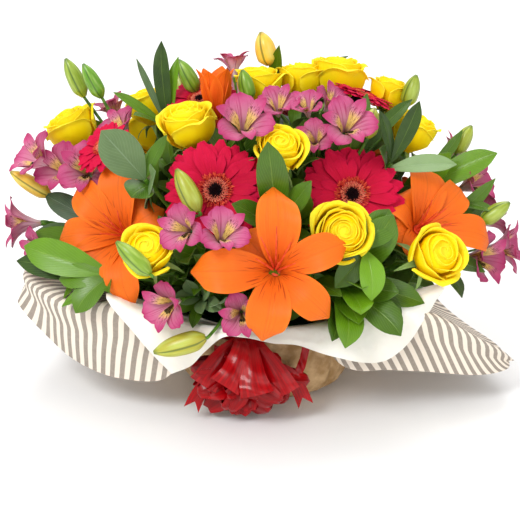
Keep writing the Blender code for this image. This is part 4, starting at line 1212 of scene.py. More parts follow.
@dataclass
class Rose(Bloom):
    """A rose: petals wrapped round a core by the golden turn, a heart, sepals, hip and stem."""

    SEED_START = 100
    SLOT = "rose_petals"
    PETAL_ROWS = 13
    PETAL_COLUMNS = 15
    CORE_HEIGHT = 39.5
    HEART_SIDES = 20
    SEPALS = 5
    # Numbers of its materials, after the petals'
    GREEN, STEM = 1, 2

    petals: int = 24

    def petal(self, number: int) -> Array:
        """Points of one petal, wrapped round the rose's axis and numbered from the core out."""
        draw, out = self.draw, number / (self.petals - 1)
        along, across = even(self.PETAL_ROWS)[:, None], side_to_side(self.PETAL_COLUMNS)
        # Inner petals go further round, start higher and stand closer
        span = (215 - 95 * out**0.6) * (0.55 + 0.45 * np.minimum(along / 0.5, 1.0))
        rim = 3.2 + 22.3 * out**0.9
        belly = rim * (1.16 - 0.20 * out) + 1.0
        radii = smooth((2.0 + 7.0 * out, belly * 0.84, belly * 1.02, rim), along[:, 0])[:, None]
        low = 12.0 * (1 - out) - 4.0 * out
        high = self.CORE_HEIGHT + 2.5 * out - 4.5 * out**2.5 + draw.uniform(-1.4, 1.4)
        shoulder = (high - low) * (0.20 + 0.10 * out) * np.abs(across) ** 2.8
        height = low + (high - low) * along - shoulder * along**1.5
        # The rim rolls out, most at its middle
        rolled = np.clip((along - 0.72) / 0.28, 0.0, 1.0)
        roll = 0.4 + 6.0 * out**1.6
        peak = 0.75 + 0.5 * (1 - np.abs(across)) ** 2
        radii = radii + roll * rolled**2 * peak + 1.4 * across
        height = height - roll * 0.9 * rolled**3 * peak
        # No two petals wave alike
        wave = np.sin(across * draw.uniform(2.5, 4.5) + draw.uniform(*PHASES)) * (0.35 + 1.3 * out)
        radii = radii + wave * along**2
        dent = np.sin(across * draw.uniform(6.0, 9.0) + draw.uniform(*PHASES)) * (0.2 + 0.7 * out)
        height = height + dent * along**4
        return cylinder_points(number * GOLDEN_TURN + span / 2 * across, radii, height)

    def build(self) -> None:
        """Build the rose and put it in the scene."""
        draw, surface = self.draw, self.surface
        matrix, size = self.place.matrix, self.place.size
        for number in range(self.petals):
            grid = carried(matrix, self.petal(number) * size)
            surface.blade(grid[:, ::-1], PETAL_THICKNESS, draw.uniform(0, 1))
        radii, heights = np.array(ROSE_HEART).T[:, :, None]
        heart = cylinder_points(round_turns(self.HEART_SIDES), radii, heights)
        surface.rings(carried(matrix, heart * size))
        self.add_core(self.place, ((6, 8), (8.2, 3), (7.2, -1), (4.6, -5), (2.4, -8)), 12, self.GREEN)
        for number in range(self.SEPALS):
            turn = 360 / self.SEPALS * number + draw.uniform(-8, 8)
            grid = SEPAL_SHAPE.grid(turn, size * draw.uniform(0.8, 1.0), size, draw.uniform(0, 6), 9, 5)
            surface.blade(carried(matrix, grid), SMALL_THICKNESS, slot=self.GREEN)
        self.add_stem(self.STEM, -6 * size)
        self.add("bloom", ROSE_PETAL, SEPAL, STEM_SKIN)


@dataclass
class GerberaParts:
    """Parts that every gerbera copies: a ray and a floret."""

    tree: WhorlTree
    copied: dict[str, Thing] = field(init=False)

    def __post_init__(self) -> None:
        """Make the parts, each along +X with its root at the origin."""
        surfaces = {"ray": Surface(), "floret": Surface()}
        surfaces["ray"].blade(GERBERA_RAY_SHAPE.grid(0.0, 1.0, 1.0, 0.0, 12, 7), PETAL_THICKNESS)
        surfaces["floret"].tube(((0, 0, 0), (1.8, 0, 0.5), (3.8, 0, 0.2)), (0.55, 0.6, 0.3), 4)
        self.copied = {name: part_object(f"gerbera_{name}", surface) for name, surface in surfaces.items()}

    def discard(self) -> None:
        """Remove the parts once every gerbera is built."""
        for part in self.copied.values():
            bpy.data.objects.remove(part)


# Ending of each layer's name, its part's name, its finish and its copies, from the outer rays in
GERBERA_LAYERS = (
    ("rays_0", "ray", GERBERA_RAY, Whorl(21, 360 / 21, (12, 12), (4, 4), (2, 2), 4.0, 4.0, (0.94, 1.1), 1)),
    ("rays_1", "ray", GERBERA_RAY, Whorl(19, 360 / 19, (11, 11), (6, 6), (6, 6), 5.0, 4.0, (0.86, 1.04), 2)),
    ("rays_2", "ray", GERBERA_RAY, Whorl(15, 360 / 15, (10, 10), (8, 8), (8, 8), 9.0, 5.0, (0.62, 0.92), 3)),
    ("florets", "floret", EYE_FILAMENT,
     Whorl(300, GOLDEN_TURN, (5.2, 10.4), (10.4, 10.8), (76, 34), 3.0, 14.0, (0.5, 0.8), 5)),
    ("filaments", "floret", LONG_FILAMENT,
     Whorl(230, GOLDEN_TURN, (10, 15), (10.6, 10.8), (52, 24), 6.0, 24.0, (0.5, 1.1), 7)),
    ("disc", "floret", EYE_DARK,
     Whorl(90, GOLDEN_TURN, (0.3, 5.6), (9.0, 10.4), (88, 80), 3.0, 6.0, (0.6, 0.8), 6)),
)
# Radius and height of the body that the rays and florets stand on
GERBERA_BASE = ((3.0, -8.0), (8.0, -4.0), (12.5, 1.0), (13.0, 6.0), (10.5, 8.8), (6.0, 8.6), (0.4, 7.6))


@dataclass
class Gerbera(Bloom):
    """A gerbera: layers of rays round an eye of coral florets, red filaments and a dark disc."""

    SLOT = "gerbera_petals"
    # Numbers of its materials
    STEM, DISC = 0, 1

    parts: GerberaParts

    def build(self) -> None:
        """Build the gerbera and put it in the scene."""
        self.add_core(self.place, GERBERA_BASE, 28, self.DISC)
        self.add_stem(self.STEM, -8 * self.place.size)
        self.add("head", STEM_SKIN, EYE_DARK)
        for ending, part, finish, layer in GERBERA_LAYERS:
            mesh = layer.mesh(self.parts.tree, self.parts.copied[part], finish, self.place)
            add_piece(f"{self.node}_{ending}", mesh, self.SLOT)


@dataclass
class Lily(Bloom):
    """A lily: six petals, each with its turn and share of full length, and its filaments."""

    SEED_START = 300
    SLOT = "lily_petals"
    FILAMENT_HEIGHT = 44.0
    THROAT_HEIGHT = 5.0
    THICKNESS = 0.7
    # Numbers of its materials, after the petals'
    THROAT, STEM = 1, 2

    petals: tuple
    shut: bool
    filaments: tuple

    def build(self) -> None:
        """Build the lily and put it in the scene."""
        draw, size = self.draw, self.place.size
        shape = LILY_SHUT if self.shut else LILY_OPEN
        for number, (turn, share, *bend) in enumerate(self.petals):
            outer = number % 2
            width = size * (0.86 if outer else 1.04)
            grid = shape.grid(turn, share * size, width, draw.uniform(*PHASES), sweep=sum(bend))
            grid[..., 2] += (0.0 if outer else 1.4) * even(len(grid))[:, None]
            self.surface.blade(carried(self.place.matrix, grid), self.THICKNESS, draw.uniform(0, 1))
        self.add_filaments()
        self.add_core(self.place, ((4.6, 8), (4.4, 4), (3.8, 0), (3.2, -4), (2.4, -8)), 10, self.THROAT)
        self.add_stem(self.STEM, -7.0 * size)
        self.add("bloom", LILY_PETAL, FILAMENT, STEM_SKIN)

    def add_filaments(self) -> None:
        """Add the bare filaments and the style in the throat."""
        draw, share = self.draw, even(9)
        for turn, reach in (*self.filaments, (80, 5)):
            radii = 1.6 + reach * (0.35 if self.shut else 1.0) * (0.35 * share + 0.65 * share**2)
            rise = self.FILAMENT_HEIGHT + draw.uniform(-4, 3) - self.THROAT_HEIGHT
            height = self.THROAT_HEIGHT + rise * share
            path = cylinder_points(turn, radii, height) * self.place.size
            width = smooth((1.2, 1.05, 0.8, 0.5), share)
            middle = carried(self.place.matrix, path)
            self.surface.tube(middle, width, 6, draw.uniform(0, 1), self.THROAT)


@dataclass
class Spray(Piece):
    """An alstroemeria spray: its fork and the blooms that leave it."""

    SEED_START = 500
    SLOT = "alstroemeria_petals"
    STAMEN_RADII = (0.45, 0.4, 0.38, 0.36, 0.34, 0.8, 0.4)
    FORK_RADIUS = 1.9
    BRANCH_RADIUS = 1.3
    # Numbers of its materials
    OUTER, INNER, STAMEN, STEM = range(4)

    fork: tuple[float, float, float]
    blooms: tuple[Place, ...]
    tone: float

    def add_bloom(self, place: Place) -> None:
        """Add one bloom: three broad petals, three narrow ones and six bent stamens."""
        draw, surface = self.draw, self.surface
        matrix, size = place.matrix, place.size
        share = even(7)
        for number in range(3):
            grid = ALSTRO_BROAD.grid(90 + 120 * number, size, size, draw.uniform(*PHASES), 14, 9)
            tone = np.clip(self.tone + draw.uniform(-0.2, 0.2), 0, 1)
            surface.blade(carried(matrix, grid), PETAL_THICKNESS, tone, self.OUTER)
            grid = ALSTRO_NARROW.grid(30 + 120 * number, size, size, draw.uniform(*PHASES), 14, 7)
            surface.blade(carried(matrix, grid), PETAL_THICKNESS, tone, self.INNER)
            for side in (-1, 1):
                turn = 250 + 14 * number + 9 * side + draw.uniform(-4, 4)
                path = cylinder_points(turn, 1.2 + 9 * share**2, 6 + 24 * share - 5 * share**3) * size
                surface.tube(carried(matrix, path), self.STAMEN_RADII, 5, slot=self.STAMEN)
        self.add_core(place, ((2.6, 4), (3.2, 1), (2.8, -3), (1.6, -6)), 8, self.STEM)

    def build(self) -> None:
        """Build the spray and put it in the scene."""
        turn, lift, _ = self.fork
        fork, outward = place_point(*self.fork), direction(turn, lift)
        path = stem_path(turn, lift, fork, outward, BLOOM_NECK, STEM_STEPS)
        self.surface.tube(path, self.FORK_RADIUS, STEM_SIDES, slot=self.STEM)
        for place in self.blooms:
            self.add_bloom(place)
            facing = place.facing
            base = place.base - facing * 5 * place.size
            knots = (fork - outward * 2, fork * 0.4 + (base - facing * 16) * 0.6, base - facing * 5, base)
            self.surface.tube(smooth(knots, even(12)), self.BRANCH_RADIUS, 6, slot=self.STEM)
        self.add("spray", ALSTRO_OUTER, ALSTRO_INNER, ANTHER, STEM_SKIN)


# Leaves and buds


@dataclass(frozen=True)
class Leaf:
    """One leaf: where along its stem it starts, the place of its tip, its width and its look."""

    along: float
    turn: float
    lift: float
    reach: float
    width: float
    arch: float = 0.08
    tone: float = 0.5
    grey: bool = False

    def grid(self, root: Array, draw: Draw) -> Array:
        """Points of the leaf from its root to its tip.

        Args:
            root: Where the leaf leaves its stem.
            draw: Source of small differences.

        Returns:
            The grid of points.
        """
        tip = place_point(self.turn, self.lift, self.reach)
        heading = unit(tip - root)
        length = float(np.linalg.norm(tip - root))
        outward = unit((tip + root) / 2 - HUB)
        side = unit(np.cross(heading, outward + FRONT_LIGHT * (0.9 if tip[1] < 110 else 0.0)))
        normal = np.cross(side, heading)
        share, across = even(16), side_to_side(9)
        arch = 4 * share * (1 - share) * self.arch * length
        middle = root + heading * (length * share)[:, None] + outward * arch[:, None]
        outline = smooth((0.03, 0.26, 0.44, 0.50, 0.48, 0.34, 0.01), share)
        half = np.maximum(outline * self.width, 0.35)[:, None]
        fold = half * (0.30 * np.abs(across) - 0.10 * across**2)
        wave = np.sin(share * draw.uniform(5, 9) + draw.uniform(0, 6))[:, None] * across**2 * half
        return grid_along(middle, side, half * across, normal, fold + wave * 0.07)


@dataclass(frozen=True)
class Bud:
    """One bud: the place of its base, the way it points, its size and how ripe it is."""

    turn: float
    lift: float
    reach: float
    face_turn: float
    face_lift: float
    length: float = 42.0
    radius: float = 6.5
    ripe: float = 0.0

    def add(self, surface: Surface, branch_from: Array, skin: int, stem: int) -> None:
        """Add the bud and its short branch.

        Args:
            surface: Surface that gets them.
            branch_from: Where the branch leaves its stem.
            skin: Number of the bud's material.
            stem: Number of the branch's material.
        """
        place = Place(self.turn, self.lift, self.reach, self.face_turn, self.face_lift)
        share = even(18)
        radii = smooth((0.34, 0.90, 1.0, 0.98, 0.88, 0.62, 0.16), share) * self.radius * 1.3
        turns = round_turns(24)
        ribs = 1.0 - 0.10 * np.maximum(0.0, np.cos(np.radians(turns) * 3)) ** 4
        grid = cylinder_points(turns, radii[:, None] * ribs, (share * self.length)[:, None])
        surface.rings(carried(place.matrix, grid), self.ripe, skin)
        base, facing = place.base, place.facing
        knee = branch_from * 0.5 + (base - facing * 14) * 0.5
        path = smooth((branch_from, knee, base - facing * 3, base + facing), even(12))
        surface.tube(path, np.linspace(1.8, 1.5, 12), 7, slot=stem)


@dataclass
class LeafyStem(Piece):
    """A stem with its leaves and buds, and the place of its end."""

    SEED_START = 700
    NECK = 30.0
    RADIUS = 2.2
    # Numbers of its materials
    GLOSSY, GREY, STEM, BUD = range(4)

    end: tuple[float, float, float]
    leaves: tuple[Leaf, ...]
    buds: tuple[Bud, ...]

    def build(self) -> None:
        """Build the stem with its leaves and buds and put it in the scene."""
        surface = self.surface
        turn, lift, _ = self.end
        end, outward = place_point(*self.end), direction(turn, lift)
        path = stem_path(turn, lift, end, outward, self.NECK, STEM_STEPS)
        surface.tube(path, self.RADIUS, STEM_SIDES, slot=self.STEM)
        curve = stem_path(turn, lift, end, outward, self.NECK, 12)[1:]
        for leaf in self.leaves:
            root = curve[round(leaf.along * (len(curve) - 1))]
            skin = self.GREY if leaf.grey else self.GLOSSY
            surface.blade(leaf.grid(root, self.draw), PETAL_THICKNESS, leaf.tone, skin)
        for bud in self.buds:
            bud.add(surface, curve[-3], self.BUD, self.STEM)
        self.add("stem", GLOSSY_LEAF, GREY_LEAF, STEM_SKIN, LILY_BUD)


# Papers and ribbon


@dataclass
class Sheet(Piece):
    """A paper sheet that hangs over the rim: its columns give the ridge and the edge."""

    slot: str
    finish: Finish
    columns: tuple
    seat_height: float
    closed: bool = False
    steps: int = 160
    ripple: float = 2.0

    ROWS: ClassVar[int] = 26
    THICKNESS: ClassVar[float] = 0.6
    STRIPE_MM: ClassVar[float] = 10.0
    SEAT_RADIUS: ClassVar[float] = 90.0
    BEND_RADIUS: ClassVar[float] = 97.0

    def grid(self) -> Array:
        """Points of the sheet, from its seat on the rim to its edge."""
        knots = []
        for ridge, edge in np.array(self.columns, float):
            seat = (ridge[0], self.SEAT_RADIUS, self.seat_height)
            bend = (ridge[0], self.BEND_RADIUS, self.seat_height + 0.6)
            knots.append((seat, bend, ridge, (ridge + edge) / 2 + (0, 3, 0), edge))
        knots = np.array(knots)
        shares = even(self.steps)
        if self.closed:
            # A whole turn more before and after, and only the middle one is read
            count = len(knots)
            turn = np.array((360, 0, 0))
            knots = np.concatenate([knots - turn, knots, knots + turn])
            shares = (count + np.linspace(0.0, count, self.steps, endpoint=False)) / (len(knots) - 1)
        columns = smooth(knots, shares)
        along = even(self.ROWS)
        rows = smooth(np.swapaxes(columns, 0, 1), along)
        self.add_ripple(rows, along)
        return cylinder_points(rows[..., 0], rows[..., 1], rows[..., 2])

    def add_ripple(self, rows: Array, along: Array) -> None:
        """Move the rows in and out and up and down in soft waves that grow to the edge.

        Args:
            rows: Turn, radius and height of each point.
            along: Share of the way from the seat to the edge for each row.
        """
        draw = self.draw
        grown = np.clip((along - 0.25) / 0.75, 0.0, 1.0)[:, None]
        for waves in (5, 9, 14, 23):
            height = self.ripple * 4 / waves**0.8
            phase, lean = draw.uniform(0, 6.28), draw.uniform(-1.5, 1.5)
            wave = np.sin(np.radians(rows[..., 0]) * waves + phase + lean * along[:, None])
            rows[..., 1] += wave * height * grown
            rows[..., 2] += np.roll(wave, 5, axis=1) * height * 0.5 * grown

    def build(self) -> None:
        """Build the sheet and put it in the scene."""
        grid = self.grid()[:, ::-1]
        row = grid[len(grid) * 3 // 4]
        if self.closed:
            row = np.concatenate([row, row[:1]])
        length = np.concatenate([[0.0], np.cumsum(np.linalg.norm(np.diff(row, axis=0), axis=1))])
        stripes = round(length[-1] / self.STRIPE_MM)
        turns = np.degrees(np.arctan2(row[:, 1], row[:, 0]))
        slant = np.interp(turns, *zip(*STRIPE_SLANT))[None, :]
        fall = np.linspace(-1.0, 1.0, self.ROWS)[:, None]
        marks = (length / length[-1] * stripes)[None, :] - slant * np.where(fall > 0, fall, -4.0 * fall)
        self.surface.blade(grid, self.THICKNESS, closed=self.closed, across=marks)
        mesh = self.surface.mesh(self.node, [self.finish.material()])
        add_piece(f"{self.node}_paper", mesh, self.slot, self.node)


@dataclass
class KraftWrap(Piece):
    """Brown paper gathered round the bowl: a closed cup with pleats."""

    SEED_START = 11
    SLOT = "kraft_paper"

    profile: tuple = ((60, 0), (78, 6), (86, 18), (90, 40), (93, 70), (96, 84))
    wall: float = 1.0
    sides: int = 240
    rows: int = 40

    def build(self) -> None:
        """Build the wrap and put it in the scene."""
        draw = self.draw
        angles = np.linspace(0.0, FULL_CIRCLE, self.sides, endpoint=False)[None, :]
        outer = smooth(self.profile, even(self.rows))
        radius, height = outer[:, :1], outer[:, 1:]
        pleats = np.zeros((self.rows, self.sides))
        for count in (7, 17, 29, 41):
            phase, twist = draw.uniform(0, 6.28), draw.uniform(-2.0, 2.0)
            wave = np.abs(np.sin(angles * count / 2 + phase + twist * (height / self.profile[-1][1])))
            pleats += (wave - 0.5) * 6.0 / count**0.42
        # The pleats are flat at the foot and pressed together at the rim
        depth = np.clip(height / 14, 0.0, 1.0) * np.clip((90 - height) / 20, 0.3, 1.0)
        radii = radius + pleats * depth
        walls = np.concatenate([radii, (radii - self.wall)[::-1]])
        heights = np.concatenate([height, np.maximum(height[::-1], self.wall)])
        self.surface.rings(cylinder_points(np.degrees(angles), walls, heights))
        self.add("paper", KRAFT_PAPER)


@dataclass
class Band(Piece):
    """The gloss ribbon's band, flat round the wrap."""

    SLOT = "ribbon"

    radius: float = 99.0
    heights: tuple = (76.0, 83.0)
    thickness: float = 0.9

    def build(self) -> None:
        """Build the band and put it in the scene."""
        heights = np.linspace(*self.heights, 4)[:, None]
        grid = cylinder_points(round_turns(120), np.full((4, 1), self.radius), heights)
        self.surface.blade(grid, self.thickness, closed=True)
        self.add("loop", RIBBON)


@dataclass
class Bow(Piece):
    """The gloss ribbon's bow: rings of loops, a knot, and long strands and tails."""

    SEED_START = 8
    SLOT = "ribbon"

    centre: Array = field(default_factory=lambda: np.array((-18.0, -100.6, 43.0)))
    reach: float = 57.0
    thickness: float = 0.5

    def strip(
        self, path: Array, sides: Array, widths: Array, crease: float, notch: float = 0.0,
        folds: Sequence[float] = (0.0, 0.0),
    ) -> None:
        """Add a length of ribbon with a crease along its middle.

        Args:
            path: Points of its middle line.
            sides: Direction across it at each point.
            widths: Half widths.
            crease: Height of the crease as a share of the half width.
            notch: Depth of the fork cut in its end.
            folds: Heights of the slanting folds, evenly spread from its start to its end.
        """
        across = side_to_side(7)
        ahead = unit(np.gradient(path, axis=0))
        normal = unit(np.cross(sides, ahead))
        raised = (1 - np.abs(across)) * (widths * crease)[:, None]
        slanted = even(len(path))[:, None] + 0.12 * across
        raised = raised + np.interp(slanted, np.linspace(-0.1, 1.1, len(folds)), folds)
        grid = grid_along(path, sides[:, None, :], widths[:, None] * across, normal[:, None, :], raised)
        near_end = np.clip(np.linspace(-1.5, 1.0, len(path)), 0.0, 1.0) ** 2
        cut = notch * near_end[:, None] * (1 - np.abs(across))
        self.surface.blade(grid - ahead[:, None, :] * cut[..., None], self.thickness)

    def add_loop(self, turn: float, lean: float, length: float, width: float) -> None:
        """Add one loop of the bow.

        Args:
            turn: Turn of the loop in the bow's plane, in degrees.
            lean: How far it leans forward.
            length: Length of the loop.
            width: Full width of the ribbon in it.
        """
        draw = self.draw
        angle = math.radians(turn)
        out = unit(np.array((math.cos(angle), -lean, math.sin(angle))))
        side = unit(np.cross(out, (0.15 * math.sin(angle), 1.0, -0.15 * math.cos(angle))))
        over = np.cross(out, side)
        twist = math.radians(draw.uniform(-35, 35))
        cos, sin = math.cos(twist), math.sin(twist)
        side, over = side * cos + over * sin, over * cos - side * sin
        bulge = over * length * draw.uniform(0.12, 0.2)
        shape = ((0.35, 1.1), (0.75, 0.8), (1.0, 0.0), (0.75, -0.8), (0.35, -0.6))
        knots = [out * length * far + bulge * high for far, high in shape]
        knots = [out * 4 + bulge * 0.2, *knots, out * 4 - bulge * 0.2]
        share = even(31)
        path = smooth(knots, share) + self.centre
        widths = smooth((5, width * 0.85, width, width * 0.5, width, width * 0.8, 5), share) / 2
        sides = np.broadcast_to(side, path.shape)
        self.strip(path, sides, widths, draw.uniform(0.25, 0.6) * draw.choice((-1, 1)))

    def build(self) -> None:
        """Build the bow and put it in the scene."""
        draw = self.draw
        for first, number, lean, length, width in BOW_RINGS:
            arc = 360 if lean < 0.6 else 190
            for step in range(number):
                turn = first + arc / number * step + draw.uniform(-9, 9)
                share = np.interp(turn % 360, *zip(*BOW_OUTLINE)) * draw.uniform(0.92, 1.04)
                self.add_loop(turn, lean, self.reach * length * share, width)
        self.add_knot()
        for knots, first_width, last_width, notch in BOW_TAILS:
            path = smooth(knots, even(30)) + self.centre
            sides = unit(np.cross(unit(np.gradient(path, axis=0)), (0.0, -1.0, 0.25)))
            folds = draw.uniform(-2.6, 2.6, 8) * (notch == 0)
            self.strip(path, sides, np.linspace(first_width, last_width, 30) / 2, 0.25, notch, folds)
        self.add("loops", RIBBON)

    def add_knot(self) -> None:
        """Add the gathered knot in the middle of the bow."""
        radii, heights = np.array(KNOT).T[:, :, None]
        folds = 1 + 0.06 * np.cos(np.radians(round_turns(28)) * 9)
        knot = cylinder_points(round_turns(28), radii * folds, heights) * (0.8, 0.8, 0.9)
        self.surface.rings(carried(frame_matrix(self.centre, TO_FRONT), knot))


@dataclass(frozen=True)
class Filler:
    """Leafy sprigs, kept dark as painted shade, that rise from the foam and close the gaps between the
    flowers.
    """

    count: int = 240
    half_axes: tuple = (208.0, 146.0, 196.0)
    seed: int = 21

    def build(self) -> None:
        """Build the sprigs and put them in the scene."""
        draw = np.random.default_rng(self.seed)
        points, edges = [], []
        for number in range(self.count):
            turn = number * GOLDEN_TURN
            lift = math.degrees(math.asin(0.16 + 0.82 * (number + 0.5) / self.count))
            way = direction(turn, lift)
            # A low sprig at the front would hang under the white sheet
            if way[1] < -0.7 and lift < 20:
                continue
            reach = draw.uniform(0.74, 0.94) / np.linalg.norm(way / np.array(self.half_axes))
            reach *= 0.74 + 0.26 * min(lift / 40, 1.0)
            if way[1] < -0.3 and lift < 26:
                reach *= 0.8
            while reach > 90 and in_a_bloom(HUB + way * reach, 18.0):
                reach -= 6
            foot = foot_point(turn, lift) * (0.55, 0.55, 1.0) - UP * 10
            end = HUB + way * reach
            path = smooth((foot, foot * 0.6 + end * 0.4 + UP * 14, end), even(8)) * MM
            edges.extend((len(points) + step, len(points) + step + 1) for step in range(len(path) - 1))
            points.extend(path.tolist())
        base = bpy.data.meshes.new("sprig_lines")
        base.from_pydata(points, edges, [])
        surface = Surface()
        surface.blade(self.leaf(), SMALL_THICKNESS)
        part = part_object("sprig_leaf", surface)
        values = {
            "Leaf": part, "Spacing": 9.0 * MM, "Bare share": 0.35, "Leaf angle": math.radians(-58),
            "Least size": 0.75, "Greatest size": 1.25, "Stem radius": 1.3 * MM, "Seed": self.seed,
            "Leaf material": GLOSSY_LEAF.material(), "Stem material": STEM_SKIN.material(),
        }
        mesh = SprigTree().run(base, values)
        bpy.data.objects.remove(part)
        add_piece("filler_sprigs", mesh, "leaf")

    @staticmethod
    def leaf() -> Array:
        """Points of one small leaf along +X, with its root at the origin."""
        along, across = even(6), side_to_side(3)
        half = np.maximum(smooth((0.1, 6.5, 9.0, 7.0, 0.2), along), 0.3)[:, None]
        middle = np.stack([along * 34, np.zeros(6), 4 * np.sin(along * 3)], axis=-1)
        return grid_along(middle, TO_FRONT, half * across, UP, np.abs(half * across) * 0.35)


# How far from its axis a bloom keeps sprigs away, at its full size
ROSE_SPACE = 26
GERBERA_SPACE = 50
LILY_SPACE = 56
SHUT_LILY_SPACE = 20


def in_a_bloom(point: Array, margin: float) -> bool:
    """Whether a point lies ahead of a bloom's base, or less than margin behind it.

    Args:
        point: The point.
        margin: Distance behind the base that still counts.

    Returns:
        True where a leaf at the point would show through the bloom's petals.
    """
    spaces = [(place, ROSE_SPACE) for place, _ in ROSES.values()]
    spaces += [(place, GERBERA_SPACE) for place in GERBERAS.values()]
    for name, (place, _) in LILIES.items():
        spaces.append((place, SHUT_LILY_SPACE if name in HALF_OPEN else LILY_SPACE))
    for place, radius in spaces:
        offset = point - place.base
        ahead = float(offset @ place.facing)
        if ahead > -margin and np.linalg.norm(offset - place.facing * ahead) < radius * place.size:
            return True
    return False


# Studio

CAMERA_TARGET = Vector((-0.005, 0.0, 0.121))
CAMERA_LIFT = 22
CAMERA_DISTANCE = 1.6
CAMERA_LENS = 110.8
SENSOR_WIDTH = 36.0
LIGHT_TARGET = Vector((0, 0, 0.12))
WORLD_STRENGTH = 0.72
FLOOR_HALF = 6
FLOOR_HEIGHT = -0.0005
# Name, place in metres, size and power
LIGHTS = (
    ("key", (-1.0, -1.5, 1.8), 0.8, 34.0),
    ("fill", (1.3, -1.7, 1.0), 1.4, 9.0),
    ("top", (0.2, 1.2, 2.4), 1.8, 36.0),
)
# Painted board: flat and nearly white
FLOOR = PlainFinish(
    "pale_studio_floor", 0.9, 0.1, first="fbfbfb", second="f6f6f6", patch_mm=400.0, bump_mm=0.01
)


def add_studio() -> None:
    """Pale floor, white surroundings and three large soft lights."""
    scene = bpy.context.scene
    world = bpy.data.worlds.new("studio")
    world.use_nodes = True
    background = world.node_tree.nodes["Background"]
    background.inputs["Color"].default_value = (1.0, 1.0, 1.0, 1.0)
    background.inputs["Strength"].default_value = WORLD_STRENGTH
    scene.world = world
    scene.view_settings.view_transform = "Standard"
    mesh = bpy.data.meshes.new("floor")
    corners = [(x, y, FLOOR_HEIGHT) for x in (-FLOOR_HALF, FLOOR_HALF) for y in (-FLOOR_HALF, FLOOR_HALF)]
    mesh.from_pydata(corners, [], [(0, 2, 3, 1)])
    mesh.materials.append(FLOOR.material())
    floor = bpy.data.objects.new("floor", mesh)
    scene.collection.objects.link(floor)
    for name, spot, size, power in LIGHTS:
        light = bpy.data.lights.new(name, "AREA")
        light.size = size
        light.energy = power
        aim(bpy.data.objects.new(name, light), Vector(spot), LIGHT_TARGET)


def aim(thing: Thing, spot: Vector, target: Vector) -> None:
    """Put a light or a camera in the scene at a spot and turn it to a target."""
    thing.location = spot
    thing.rotation_euler = (target - spot).to_track_quat("-Z", "Y").to_euler()
    bpy.context.scene.collection.objects.link(thing)


def add_camera() -> None:
    """Camera at the photo's angle: from the front, a little above level."""
    camera = bpy.data.cameras.new("camera")
    camera.sensor_width = SENSOR_WIDTH
    camera.lens = CAMERA_LENS
    holder = bpy.data.objects.new("camera", camera)
    aim(holder, CAMERA_TARGET + Vector(direction(-90, CAMERA_LIFT)) * CAMERA_DISTANCE, CAMERA_TARGET)
    bpy.context.scene.camera = holder


# What stands where


# Place and number of petals
ROSES = {
    "left_outer": (Place(167, 39, 240, 172, 62, 10), 15),
    "left_upper": (Place(153, 54, 213, 140, 68, 40, 0.86), 15),
    "left_inner": (Place(-151, 66, 195, -160, 78, 20), 15),
    "left_low": (Place(-130, 31, 184, -108, 45, 60, 0.9), 13),
    "crown_front": (Place(-80, 68, 183, -84, 60, 15, 0.88), 14),
    "crown_back": (Place(100, 80, 202, 95, 80, 50, 0.9), 15),
    "crown_middle": (Place(55, 73, 208, 80, 72, 30, 0.88), 15),
    "crown_right": (Place(37, 66, 219, 60, 80, 5), 15),
    "right_upper": (Place(22, 56, 228, 40, 66, 70, 0.78), 15),
    "right_outer": (Place(9, 48, 211, 13, 66, 25, 0.88), 15),
    "front": (Place(-56, 43, 157, -76, 30), 23),
    "right_low": (Place(-34, 26, 196, -56, 32, 45), 13),
    "back_left": (Place(135, 38, 205, 135, 45, 20, 0.95), 18),
    "back_right": (Place(47, 36, 205, 45, 42, 35, 0.95), 16),
    "back_low": (Place(91, 24, 172, 91, 32, 50, 0.95), 18),
}
GERBERAS = {
    "left": Place(-120, 58, 173, -93, 28, 0, 0.98),
    "right": Place(-32, 54, 163, -83, 31, 8),
    "top_left": Place(135, 64, 204, 125, 62, 0, 0.72),
    "top_right": Place(49, 52, 228, 60, 60, 0, 0.75),
    "far_left": Place(156, 30, 212, 150, 40, 0, 0.65),
    "back": Place(92, 50, 196, 92, 48, 0, 0.95),
}
# Gerberas that only the scene has: the red seen between the flowers of the crown
ADDED_GERBERAS = {
    "left_side": Place(-167, 48, 232, -140, 50, 0, 0.6),
    "crown_left": Place(162, 72, 212, -120, 66, 0, 0.72),
    "crown_right": Place(15, 65, 226, 20, 66, 0, 0.66),
}
SIX_EVEN = tuple((turn, 0.8) for turn in range(0, 360, 60))
# Place, and the turn and share of full length of each petal, with the bend of its tip where it has one
LILIES = {
    "left": (
        Place(-157, 33, 169, -112, 28),
        ((96, 1.06), (142, 1.0), (40, 0.66), (192, 0.96), (236, 0.86), (290, 0.98)),
    ),
    "front": (
        Place(-86, 34, 154, -88, 24),
        ((84, 1.08, 9), (24, 1.0, -4), (180, 1.1), (131, 0.7), (258, 0.92), (318, 0.92)),
    ),
    "right": (
        Place(-17, 32, 176, -56, 34),
        ((72, 0.9), (26, 0.95), (118, 0.6), (180, 0.5), (238, 0.5), (334, 1.1)),
    ),
    "half_open": (Place(-169, 76, 195, 100, 80), SIX_EVEN),
    "upper_right": (Place(13, 50, 149, 8, 66, 0, 0.83), SIX_EVEN),
    "back_left": (
        Place(143, 18, 177, 143, 26),
        ((10, 0.9), (70, 0.8), (130, 0.7), (190, 0.95), (250, 0.9), (310, 0.9)),
    ),
    "back_right": (
        Place(45, 16, 176, 46, 24),
        ((30, 0.9), (90, 0.95), (150, 0.9), (210, 0.95), (270, 0.9), (330, 0.9)),
    ),
}
HALF_OPEN = ("half_open", "upper_right")
# Turn and spread of the filaments, and of those that are not even
EVEN_FILAMENTS = ((30, 14), (90, 17), (150, 15), (210, 13), (270, 12), (330, 14))
LILY_FILAMENTS = {
    "front": ((116, 31), (90, 37), (63, 26), (20, 16), (151, 20)),
    "left": ((120, 15), (80, 18), (150, 13), (200, 10)),
}
